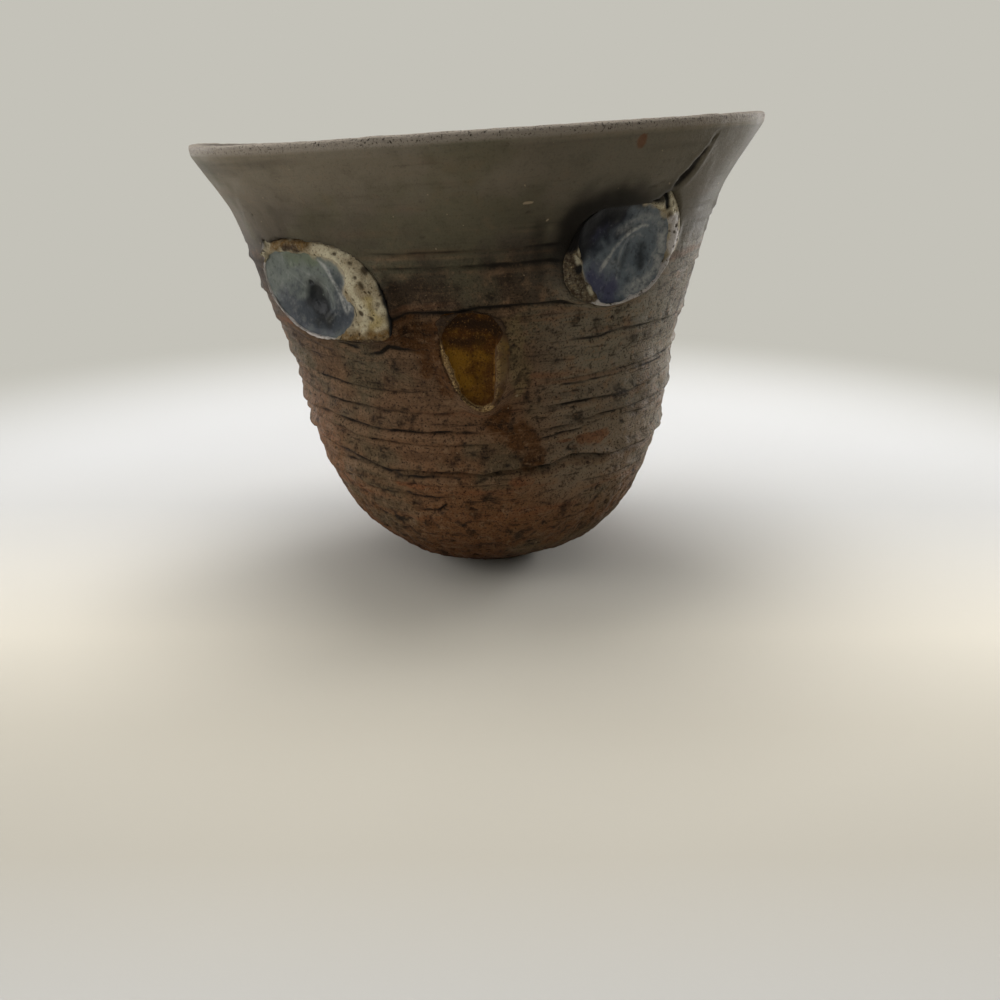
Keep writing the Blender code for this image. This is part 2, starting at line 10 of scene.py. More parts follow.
import bpy
import numpy as np
from bpy.props import FloatProperty, FloatVectorProperty, PointerProperty
from bpy.types import NodeSocket, Operator, Panel, PropertyGroup
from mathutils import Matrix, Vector


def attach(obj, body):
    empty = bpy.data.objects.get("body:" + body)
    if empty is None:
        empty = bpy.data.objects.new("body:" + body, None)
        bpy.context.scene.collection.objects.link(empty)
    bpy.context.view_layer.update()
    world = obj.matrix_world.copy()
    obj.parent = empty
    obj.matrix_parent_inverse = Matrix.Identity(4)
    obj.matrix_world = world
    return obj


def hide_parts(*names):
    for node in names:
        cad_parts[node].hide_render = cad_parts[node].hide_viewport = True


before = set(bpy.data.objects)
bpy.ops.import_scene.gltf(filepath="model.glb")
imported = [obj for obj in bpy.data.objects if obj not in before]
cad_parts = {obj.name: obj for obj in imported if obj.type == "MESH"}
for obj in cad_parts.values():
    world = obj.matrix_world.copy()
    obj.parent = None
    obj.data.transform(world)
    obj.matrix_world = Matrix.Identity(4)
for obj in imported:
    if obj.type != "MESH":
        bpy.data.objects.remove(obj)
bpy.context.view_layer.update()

bl_info = {
    "name": "Hanging Bird Vase",
    "version": (1, 0, 0),
    "blender": (4, 5, 0),
    "location": "3D View > Sidebar > Vase",
    "description": "Throws a stoneware vase, presses clay eyes and a beak into it and melts their glass",
    "category": "Add Mesh",
}

MM = 0.001
FULL_TURN = 2.0 * math.pi


def linear(hex_colour):
    """Turn an sRGB hex colour to the linear values that a shader takes."""
    channels = [int(hex_colour[start:start + 2], 16) / 255.0 for start in (1, 3, 5)]
    return tuple(c / 12.92 if c <= 0.04045 else ((c + 0.055) / 1.055) ** 2.4 for c in channels)


# The thrown wall: unit, value and what it is
WALL_SIZES = {
    "foot_radius": ("mm", 14.1, "Outer radius at the table"),
    "foot_to_heel": ("mm", 8.0, "Height of the stretch from the foot to the heel"),
    "heel_radius": ("mm", 30.2, "Outer radius at the heel"),
    "heel_to_hip": ("mm", 14.0, "Height of the stretch from the heel to the hip"),
    "hip_radius": ("mm", 42.2, "Outer radius at the hip"),
    "hip_to_belly": ("mm", 22.0, "Height of the stretch from the hip to the belly"),
    "belly_radius": ("mm", 49.8, "Outer radius at the belly"),
    "belly_to_waist": ("mm", 16.0, "Height of the stretch from the belly to the waist"),
    "waist_radius": ("mm", 52.2, "Outer radius at the waist"),
    "waist_to_shoulder": ("mm", 20.0, "Height of the stretch from the waist to the shoulder"),
    "shoulder_radius": ("mm", 57.7, "Outer radius at the shoulder"),
    "shoulder_to_neck": ("mm", 18.0, "Height of the stretch from the shoulder to the neck"),
    "neck_radius": ("mm", 63.2, "Outer radius at the neck"),
    "neck_to_lip": ("mm", 14.8, "Height of the flare from the neck to the lip"),
    "lip_radius": ("mm", 72.4, "Outer radius at the foot of the lip"),
    "lip_band": ("mm", 3.4, "Height of the nearly upright lip"),
    "lip_wall": ("mm", 4.2, "Thickness of the wall at the lip"),
    "wall": ("mm", 6.0, "Thickness of the wall"),
    "floor": ("mm", 7.0, "Height of the floor inside"),
    "foot_trim": ("mm", 1.8, "Clay trimmed off below the table"),
    "foot_trim_radius": ("mm", 11.0, "Radius of the clay trimmed off"),
    "lean": ("deg", 3.2, "How far the vase leans to the viewer's left"),
    "rim_tilt": ("deg", 0.5, "How much further the rim tips than the wall"),
    "rim_shift": ("mm", 1.3, "How far the rim sits to the viewer's right"),
    "rim_rise": ("mm", 1.2, "How far the rim rises at its left end"),
    "back_flat": ("mm", 44.0, "Distance from the axis to the flat back"),
    "back_corner": ("mm", 7.0, "Softness of the corner beside the flat back"),
    "hole_radius": ("mm", 4.5, "Radius of the hanging hole"),
    "hole_below_rim": ("mm", 19.0, "Distance from the rim to the middle of the hole"),
    "line_depth": ("share", 1.0, "Depth of the throwing lines, as a share of the real ones"),
    "clay_roughness": ("share", 1.0, "Height of the clay's grain, as a share of the real one"),
}

# A pad of clay and its pool: unit, left eye, right eye, beak, and what it is
PAD_SIZES = {
    "azimuth": ("deg", -37.2, 34.1, -0.6, "Where it sits round the wall"),
    "height": ("mm", 84.5, 89.2, 67.2, "Height of its middle on the wall"),
    "pool_half_length": ("mm", 15.2, 12.8, 10.4, "Half the length of the pool"),
    "pool_half_height": ("mm", 8.9, 9.1, 6.0, "Half the height of the pool"),
    "pool_depth": ("mm", 2.8, 2.8, 2.2, "Depth of the hollow at its middle"),
    "pool_edge_depth": ("mm", 1.6, 1.6, 1.3, "Depth of the hollow at its side"),
    "taper": ("share", 0.0, 0.0, 0.26, "How much wider it is at its start"),
    "rim_start": ("mm", 1.2, 4.8, 1.6, "Clay rim at the start of the long axis"),
    "rim_end": ("mm", 6.8, 4.4, 1.3, "Clay rim at the end of the long axis"),
    "rim_below": ("mm", 1.3, 1.3, 1.3, "Clay rim below the pool"),
    "rim_above": ("mm", 4.0, 2.0, 1.3, "Clay rim above the pool"),
    "roll": ("deg", -17.0, 20.0, 96.0, "Roll of the long axis"),
    "stand": ("mm", 1.1, 0.8, 2.0, "How far its face stands out of the wall"),
    "tip_back": ("deg", 15.0, 14.0, 11.0, "How much its face tips back to upright"),
    "flattening": ("share", 0.5, 0.5, 0.2, "Share of the wall's curve that it flattens"),
    "tip_direction": ("deg", 164.0, 32.0, 0.0, "Direction of the pinched tip"),
    "tip_length": ("mm", 3.6, 3.2, 0.0, "Length of the pinched tip"),
    "tip_width": ("deg", 9.0, 11.0, 10.0, "Width of the pinched tip"),
    "brow_direction": ("deg", 108.0, 112.0, 0.0, "Direction of the dent in the wall"),
    "brow_width": ("mm", 4.5, 9.5, 1.6, "Width of the dent beyond the pad"),
    "brow_depth": ("mm", 1.3, 3.0, 0.9, "Depth of the dent at the pad"),
    "pupil_along": ("mm", 3.4, 2.6, -3.0, "Place of the pupil along the pool"),
    "pupil_across": ("mm", -0.6, -0.6, 0.0, "Place of the pupil across the pool"),
    "pupil_half_length": ("mm", 5.2, 6.4, 4.6, "Half the length of the pupil"),
    "pupil_half_height": ("mm", 3.8, 4.2, 2.6, "Half the height of the pupil"),
    "pupil_depth": ("mm", 0.9, 0.6, 0.5, "Depth of the pupil"),
    "meniscus": ("mm", 0.6, 0.6, 0.5, "How far the glass sinks from its edge"),
}

FINISH_COLOURS = {
    "foot_rust": ("#54341c", "Stoneware at the foot"),
    "hip_rust": ("#6c4a2e", "Stoneware at the hip"),
    "belly_brown": ("#70523a", "Stoneware at the belly"),
    "waist_brown": ("#5e4936", "Stoneware at the waist"),
    # Darker partly by painted shade under the overhanging flare
    "shoulder_grey": ("#2f2820", "Stoneware at the shoulder"),
    "flare_grey": ("#6a6254", "Stoneware of the flare"),
    # Paler partly by painted light on the top of the lip, and worn
    "lip_grey": ("#8a8175", "The lip, rubbed paler"),
    "olive": ("#55513f", "Patches where ash touched the wall"),
    "ash_grey": ("#7a7464", "Ash that settled on the wall's right side"),
    "orange_clay": ("#74492d", "Patches of bare orange clay"),
    # Tan grain, and painted light on the clay just below each throwing line
    "ledge_tan": ("#7a6048", "Clay that the fingers pushed up below a line"),
    # Painted shade for the dents, the grooves, the crevices round the pads and the crack
    "char_black": ("#0e0b08", "Dents where soot gathered"),
    # Dark grain, and painted shade on the flare's right side, above the left eye and on the inside
    "line_black": ("#1a130d", "The bottom of the throwing lines"),
    "pale_fleck": ("#9c8a70", "Pale grog flecks"),
    "beak_stain": ("#4f3115", "Stain that ran from the beak"),
    "tan_stain": ("#6f5f43", "Tan stain beside the beak"),
    "slip_cream": ("#8f836a", "The white clay"),
    "slip_pale": ("#b5ac92", "The white clay where it is thickest"),
    "slip_ochre": ("#654b24", "Ochre crust on the white clay"),
    "slip_yellow": ("#94803f", "Yellow ash on the white clay"),
    "crust_brown": ("#33261a", "Burnt crust on the white clay"),
    "slip_speck": ("#352a1a", "Iron specks in the white clay"),
    "sandy_clay": ("#523b25", "The clay of the beak"),
    "sandy_gold": ("#a3875a", "Grains of glass on the clay of the beak"),
    "glass_grey": ("#5b605a", "Left glass where it is thin"),
    "glass_blue": ("#30353b", "Left glass where it is thicker"),
    "glass_dark": ("#0c0e10", "The pool in the left pupil"),
    "glass_green": ("#525a45", "Left glass under its crust"),
    # Painted highlight along the glass's edge and the pads' lower rims, and white lumps on the clay
    "glass_rim": ("#b9b3ae", "Glass where it thins out over its rim"),
    # White swirls in the glass, and painted sheen and reflection on it
    "glass_milk": ("#93938e", "White swirls in the glass"),
    "navy_pale": ("#545b60", "Right glass where it is thin"),
    "navy_blue": ("#121722", "Right glass where it is thicker"),
    "navy_violet": ("#38374f", "Violet in the right glass"),
    "navy_dark": ("#07080b", "Right glass at its deepest"),
    # Paler amber, and painted light where the beak's pool faces up
    "amber_pale": ("#6b4a0c", "Amber glass in its paler patches"),
    "amber_gold": ("#8a6430", "Fine light lines in the amber glass"),
    "amber_mid": ("#432603", "Amber glass, most of it"),
    # Dark amber, and painted shade under the ledge
    "amber_dark": ("#1f1004", "Amber glass under the ledge"),
}

STAGE_SIZES = {
    "floor_reach": ("m", 1.3, "Radius of the flat floor"),
    "cove_radius": ("m", 0.5, "Radius of the cove that lifts the floor into the backdrop"),
    "backdrop_height": ("m", 1.6, "Height of the backdrop"),
    "lamp_height": ("m", 0.95, "Height of the overhead lamp"),
    "lamp_width": ("m", 0.55, "Width of the overhead lamp"),
    "camera_lens": ("share", 36.0, "Focal length in millimetres on a 36 mm sensor"),
    "camera_tip": ("deg", 69.7, "How far the camera is tipped up from looking straight down"),
}


def size_property(name, unit, value, note):
    """A size as a property. Tables give lengths in mm or m, angles in degrees and plain shares."""
    label = name.replace("_", " ").capitalize()
    if unit == "deg":
        return FloatProperty(name=label, description=note, default=math.radians(value), subtype="ANGLE")
    if unit == "share":
        return FloatProperty(name=label, description=note, default=value)
    length = value * MM if unit == "mm" else value
    return FloatProperty(name=label, description=note, default=length, unit="LENGTH", precision=4)


def property_group(name, note, properties):
    """Make a property group class from its properties."""
    return type(name, (PropertyGroup,), {"__doc__": note, "__annotations__": properties})


VaseWallSizes = property_group("VaseWallSizes", "Sizes of the thrown wall", {
    name: size_property(name, *row) for name, row in WALL_SIZES.items()})
VaseLeftEyeSizes, VaseRightEyeSizes, VaseBeakSizes = (
    property_group(f"Vase{title}Sizes", f"Sizes of the {title}", {
        name: size_property(name, row[0], row[column], row[-1]) for name, row in PAD_SIZES.items()})
    for column, title in ((1, "LeftEye"), (2, "RightEye"), (3, "Beak")))
VaseFinishColours = property_group("VaseFinishColours", "Colours of the fired clay and glass", {
    name: FloatVectorProperty(name=name.replace("_", " ").capitalize(), description=note, size=3,
                              subtype="COLOR", min=0.0, max=1.0, default=linear(colour))
    for name, (colour, note) in FINISH_COLOURS.items()})
VaseStageSizes = property_group("VaseStageSizes", "Sizes of the floor, the lamps and the camera", {
    name: size_property(name, *row) for name, row in STAGE_SIZES.items()})

SETTINGS = {
    "vase_wall": VaseWallSizes,
    "vase_left_eye": VaseLeftEyeSizes,
    "vase_right_eye": VaseRightEyeSizes,
    "vase_beak": VaseBeakSizes,
    "vase_finish": VaseFinishColours,
    "vase_stage": VaseStageSizes,
}

# Fit of the pads in the wall
SEAT_GAP = 0.3 * MM
CLAY_BEHIND_SOCKET = 3.2 * MM
CLAY_UNDER_POOL = 1.2 * MM
PAD_BEDDING = 2.2 * MM
GLASS_BELOW_RIM = 0.25 * MM
HOLLOW_DRAFT = 0.5
GLASS_CREEP = 0.15 * MM
SWELL_CORE = 0.7
SWELL_REACH = 1.7

# Rows and columns of points: of the wall, of the inside above and below the hanging hole,
# and of a pad
WALL_COLUMNS = 384
WALL_ROWS = 196
ROWS_ABOVE_HOLE = 6
ROWS_BELOW_HOLE = 27
PAD_COLUMNS = 288
# Columns and rows from the middle of the hole to its edge, and as far as the mesh is drawn round it
HOLE_COLUMNS, HOLE_ROWS = 6, 7
DRAWN_COLUMNS, DRAWN_ROWS = 16, 18
# Columns of the paper sweep, the rows of its cove and the radii of its rings on the flat floor
SWEEP_COLUMNS, COVE_ROWS = 96, 13
FLOOR_RINGS = (0.05, 0.3)
# Rings of the pot's flat foot and of its floor, as shares of their edges
FOOT_SHARES, FLOOR_SHARES = (0.3, 0.62, 0.88), (0.8, 0.55, 0.28)
# Rows from each key row of a pad's skin to the next, from its back to the middle of its hollow
CLAY_STEPS = (2, 2, 3, 5, 6, 18, 16, 6, 3, 2)
# The same for a pool's skin, from its bed to the middle of its pupil, and the row of its edge
GLASS_STEPS = (2, 3, 4, 22, 26, 14, 10)
GLASS_EDGE_ROW = sum(GLASS_STEPS[:3])
# How many positions a density is summed over, and points between the corners of a traced edge
FINE_POSITIONS = 6001
POINTS_PER_CORNER = 16

# Radii in mm at which the grain, the spots and the burrs are laid out round the wall
MEAN_RADIUS = 55.0
BURR_RADIUS = 60.0
# The noise of each throwing line and of the inside is taken higher up, so that none is alike
LINE_SHIFT = 50 * MM
INSIDE_SHIFT = 400 * MM
# The inside starts this far below the rim, and rounds into the floor over this height
UNDER_RIM = 2.2 * MM
FLOOR_CORNER = 1.6 * MM
# How much wider than the bore the hole's mouths are
MOUTH_SOFTNESS = 0.7 * MM
# The bore's rings: share of the way in, then how far in and how wide in mm the mouths soften it
BORE_RINGS = (
    (0, 0.15, 0.32), (0, 0.45, 0.1), (0, 0.9, 0), (0.35, 0, 0), (0.65, 0, 0), (1, -0.9, 0),
    (1, -0.45, 0.1), (1, -0.15, 0.32),
)
# How far round a pad the wall is dented or drawn up, and the spacing of the glass's rings
PAD_SURROUND = 9 * MM
RING_SPACING = 1.15 * MM


def smooth_ramp(start, end, value):
    """Go from 0 at start to 1 at end with level ends. The end may lie below the start."""
    share = np.clip((value - start) / (end - start), 0.0, 1.0)
    return share * share * (3.0 - 2.0 * share)


def bell(distance, width):
    """1 at no distance, falling smoothly to nothing some widths away."""
    return np.exp(-np.square(distance / width))


def between(first, second, share):
    """Some share of the way from one number or loop of points to another."""
    return first + (second - first) * share


def lattice(ix, iy, iz, seed):
    """A repeatable number from 0 to 1 at each corner of a lattice of whole numbers."""
    mixed = (ix * 374761393 + iy * 668265263 + iz * 1440662683 + seed * 974634777) & 0xFFFFFFFF
    mixed = ((mixed ^ (mixed >> 13)) * 1274126177) & 0xFFFFFFFF
    return ((mixed ^ (mixed >> 16)) & 0xFFFF) / 65535.0


# Turns the lattice of round bumps, so that its rows don't line up with the wall's
TURNED = np.array(((0.36, 0.48, -0.8), (-0.8, 0.6, 0.0), (0.48, 0.64, 0.6)))


def clay_noise(points, size, seed):
    """Smooth noise from -1 to 1 at points, with bumps of one size or a size per axis, in mm."""
    if np.ndim(size) == 0:
        points = points @ TURNED
    scaled = points / (np.asarray(size, dtype=float) * MM) + 100.0
    corner = np.floor(scaled).astype(np.int64)
    part = scaled - corner
    part = part * part * (3.0 - 2.0 * part)
    total = 0.0
    for step in itertools.product((0, 1), repeat=3):
        weight = 1.0
        for axis in range(3):
            weight = weight * (part[..., axis] if step[axis] else 1.0 - part[..., axis])
        total = total + weight * lattice(*(corner[..., axis] + step[axis] for axis in range(3)), seed)
    return 2.0 * total - 1.0


def spaced(start, end, count, density):
    """Positions from start to end, closer together where the density is high."""
    fine = np.linspace(start, end, FINE_POSITIONS)
    steps = density(0.5 * (fine[1:] + fine[:-1]))
    climbed = np.concatenate(((0.0,), np.cumsum(steps)))
    return np.interp(np.linspace(0.0, climbed[-1], count), climbed, fine)


def from_line(u, v, line):
    """Distance of points from a line of points, and how far along it each nearest point is."""
    best = np.full(np.shape(u), 1e9)
    where = np.zeros(np.shape(u))
    count = len(line) - 1
    for index, ((u0, v0), (u1, v1)) in enumerate(zip(line, line[1:])):
        du, dv = u1 - u0, v1 - v0
        share = np.clip(((u - u0) * du + (v - v0) * dv) / (du * du + dv * dv), 0.0, 1.0)
        distance = np.hypot(u - u0 - share * du, v - v0 - share * dv)
        closer = distance < best
        best = np.where(closer, distance, best)
        where = np.where(closer, (index + share) / count, where)
    return best, where


def in_mm(line):
    """A line of points that is written in millimetres."""
    return [(u * MM, v * MM) for u, v in line]


def led_to(loop, middle, edge):
    """Lead a loop of points to an edge that was drawn round the same middle, in millimetres."""
    if not edge:
        return loop
    middle = np.asarray(middle)
    corners = np.array(in_mm(edge)) - middle
    dense = np.concatenate([between(corners, np.roll(corners, -1, axis=0), share)
                            for share in np.arange(POINTS_PER_CORNER) / POINTS_PER_CORNER])
    bearing = np.arctan2(dense[:, 1], dense[:, 0])
    order = np.argsort(bearing)
    offset = loop - middle
    target = np.interp(np.arctan2(offset[:, 1], offset[:, 0]), bearing[order], np.hypot(*dense.T)[order],
                       period=FULL_TURN)
    target = (np.roll(target, 1) + 2.0 * target + np.roll(target, -1)) / 4.0
    return middle + offset * (target / np.hypot(*offset.T))[:, None]


class ThrownWall:
    """The turned wall in the frame it was thrown in, and the lean of the finished pot."""

    def __init__(self, sizes):
        self.sizes = sizes
        stretches = (sizes.foot_to_heel, sizes.heel_to_hip, sizes.hip_to_belly, sizes.belly_to_waist,
                     sizes.waist_to_shoulder, sizes.shoulder_to_neck, sizes.neck_to_lip)
        heights = np.cumsum((0.0, *stretches))
        self.heights = np.concatenate(((-sizes.foot_trim,), heights))
        self.radii = np.array((
            sizes.foot_trim_radius, sizes.foot_radius, sizes.heel_radius, sizes.hip_radius,
            sizes.belly_radius, sizes.waist_radius, sizes.shoulder_radius, sizes.neck_radius,
            sizes.lip_radius))
        side = np.diff(self.radii) / np.diff(self.heights)
        halfway = 2.0 * side[:-1] * side[1:] / (side[:-1] + side[1:])
        self.slopes = np.concatenate((side[:1], halfway, side[-1:]))
        self.shoulder, _, self.lip = self.heights[-3:]
        self.rim = self.lip + sizes.lip_band

    def outer_radius(self, height):
        """Radius of the smooth outside, a cubic curve through the stations."""
        height = np.clip(height, self.heights[0], self.heights[-1])
        index = np.clip(np.searchsorted(self.heights, height) - 1, 0, len(self.heights) - 2)
        z0, r0, r1 = self.heights[index], self.radii[index], self.radii[index + 1]
        span = self.heights[index + 1] - z0
        t = (height - z0) / span
        rise = t * t * (3.0 - 2.0 * t)
        lift = self.slopes[index] * span * t * (1.0 - t) ** 2
        drop = self.slopes[index + 1] * span * t * t * (1.0 - t)
        return r0 + (r1 - r0) * rise + lift - drop

    def slope(self, height):
        """Angle by which the outside faces down."""
        step = 0.5 * MM
        rise = self.outer_radius(height + step) - self.outer_radius(height - step)
        return np.arctan2(rise, 2.0 * step)

    def thickness(self, height):
        """The wall thins towards the lip."""
        thin = smooth_ramp(self.shoulder, self.lip, height)
        return self.sizes.wall + (self.sizes.lip_wall - self.sizes.wall) * thin

    def paddled(self, y, depth):
        """Press the back flat, with a soft corner."""
        plane = self.sizes.back_flat - depth
        corner = self.sizes.back_corner
        over = np.clip(y - (plane - corner), 0.0, 2.0 * corner)
        return np.where(over < 2.0 * corner, y - over * over / (4.0 * corner), plane)

    def set_down(self, x, y, z):
        """Take points of the upright frame to where they are on the leaning vase."""
        sizes = self.sizes
        rising = smooth_ramp(self.shoulder, self.rim, z)
        leftward = np.maximum(-x / sizes.lip_radius, 0.0)
        z = z + (x * math.tan(sizes.rim_tilt) + sizes.rim_rise * leftward ** 6) * rising
        x = x + sizes.rim_shift * rising
        c, s = math.cos(sizes.lean), math.sin(sizes.lean)
        return np.stack((x * c - z * s, y + 0.0 * x, x * s + z * c), axis=-1)

    def on_wall(self, azimuth, height, stand):
        """Points that stand off the smooth outside, square to it."""
        slope = self.slope(height)
        radius = self.outer_radius(height) + stand * np.cos(slope)
        z = height - stand * np.sin(slope)
        return self.set_down(radius * np.sin(azimuth), -radius * np.cos(azimuth), z)


class Pad:
    """A pad of clay let into the wall. u runs to the viewer's right and v up, along the wall."""

    def __init__(self, wall, sizes, edges):
        self.wall, self.sizes, self.edges = wall, sizes, edges
        self.radius = float(wall.outer_radius(sizes.height))
        self.slope = float(wall.slope(sizes.height))
        self.half_length = sizes.pool_half_length + 0.5 * (sizes.rim_start + sizes.rim_end)
        self.half_height = sizes.pool_half_height + 0.5 * (sizes.rim_below + sizes.rim_above)
        self.pool_middle = (0.5 * (sizes.rim_start - sizes.rim_end),
                            0.5 * (sizes.rim_below - sizes.rim_above))
        self.pupil_middle = (self.pool_middle[0] + sizes.pupil_along,
                             self.pool_middle[1] + sizes.pupil_across)
        self.angles = np.arange(PAD_COLUMNS) * FULL_TURN / PAD_COLUMNS
        smooth = self.oval((0.0, 0.0), self.half_length, self.half_height, tip=True)
        self.reach_up, self.reach_down = smooth[:, 1].max(), smooth[:, 1].min()
        self.outline = led_to(smooth, (0.0, 0.0), edges["clay"])

    def rolled(self, along, across):
        """Turn points of the pad's own axes by its roll."""
        c, s = math.cos(self.sizes.roll), math.sin(self.sizes.roll)
        return np.stack((along * c - across * s, along * s + across * c), axis=-1)

    def oval(self, middle, half_length, half_height, tip=False):
        """A loop of points: the taper narrows its start and the tip is pinched out."""
        sizes, angles = self.sizes, self.angles
        along = half_length * np.cos(angles)
        across = half_height * (1.0 + sizes.taper * np.cos(angles)) * np.sin(angles)
        if tip:
            turn = (angles - sizes.tip_direction + math.pi) % FULL_TURN - math.pi
            pinch = sizes.tip_length * bell(turn, sizes.tip_width)
            along = along + pinch * math.cos(sizes.tip_direction)
            across = across + pinch * math.sin(sizes.tip_direction)
        return self.rolled(middle[0] + along, middle[1] + across)

    def pool_outline(self):
        """Edge of the hollow that the glass lies in."""
        middle = self.rolled(*self.pool_middle)
        smooth = self.oval(self.pool_middle, self.sizes.pool_half_length, self.sizes.pool_half_height)
        return led_to(smooth, middle, self.edges["glass"])

    def pupil_outline(self, share):
        """An oval inside the pool where a finger pressed it deeper."""
        sizes = self.sizes
        return self.oval(self.pupil_middle, share * sizes.pupil_half_length,
                         share * sizes.pupil_half_height)

    def face(self, u, v):
        """How far the face stands out of the wall."""
        curve = self.sizes.flattening * u * u / (2.0 * self.radius)
        return self.sizes.stand - v * math.tan(self.sizes.tip_back) + curve

    def back(self, u, v):
        """How far the back lies below the outside of the wall."""
        sizes = self.sizes
        top_face = sizes.stand - self.reach_up * math.tan(sizes.tip_back)
        top = min(top_face - sizes.pool_edge_depth - CLAY_UNDER_POOL, -PAD_BEDDING)
        share = (v - self.reach_down) / (self.reach_up - self.reach_down)
        bed = top * share - PAD_BEDDING * (1.0 - share)
        return np.minimum(bed, sizes.stand - sizes.pool_depth - CLAY_UNDER_POOL)

    def socket_depth(self):
        """Greatest depth of the pad's socket."""
        return SEAT_GAP - self.back(self.outline[:, 0], self.outline[:, 1]).min()

    def place(self, u, v, stand):
        """Points of the pad in the world."""
        azimuth = self.sizes.azimuth + u / self.radius
        height = self.sizes.height + v * math.cos(self.slope)
        return self.wall.on_wall(azimuth, height, stand)

    def unrolled(self, azimuth, height):
        """Where places of the wall lie on the pad's own u and v."""
        u = (azimuth - self.sizes.azimuth) * self.radius
        return u, (height - self.sizes.height) / math.cos(self.slope)

    def from_outline(self, u, v):
        """Distance outside the pad's outline, and the share of the brow's dent there."""
        shape = np.shape(u)
        u, v = np.ravel(u), np.ravel(v)
        gap = np.hypot(u[:, None] - self.outline[None, :, 0], v[:, None] - self.outline[None, :, 1])
        nearest = gap.argmin(axis=1)
        distance = gap[np.arange(len(u)), nearest]
        bearings = np.arctan2(self.outline[:, 1], self.outline[:, 0])
        order = np.argsort(bearings)
        reach = np.interp(np.arctan2(v, u), bearings[order], np.hypot(*self.outline.T)[order],
                          period=FULL_TURN)
        distance = np.where(np.hypot(u, v) < reach, -distance, distance)
        share = np.maximum(np.cos(self.angles[nearest] - self.sizes.brow_direction), 0.0)
        return distance.reshape(shape), share.reshape(shape)


def grown(outline, distance):
    """Move every point of a loop outwards, square to the loop."""
    ahead, behind = np.roll(outline, -1, axis=0), np.roll(outline, 1, axis=0)
    du, dv = (ahead - behind).T
    step = distance / np.hypot(du, dv)
    return outline + np.stack((step * dv, -step * du), axis=-1)


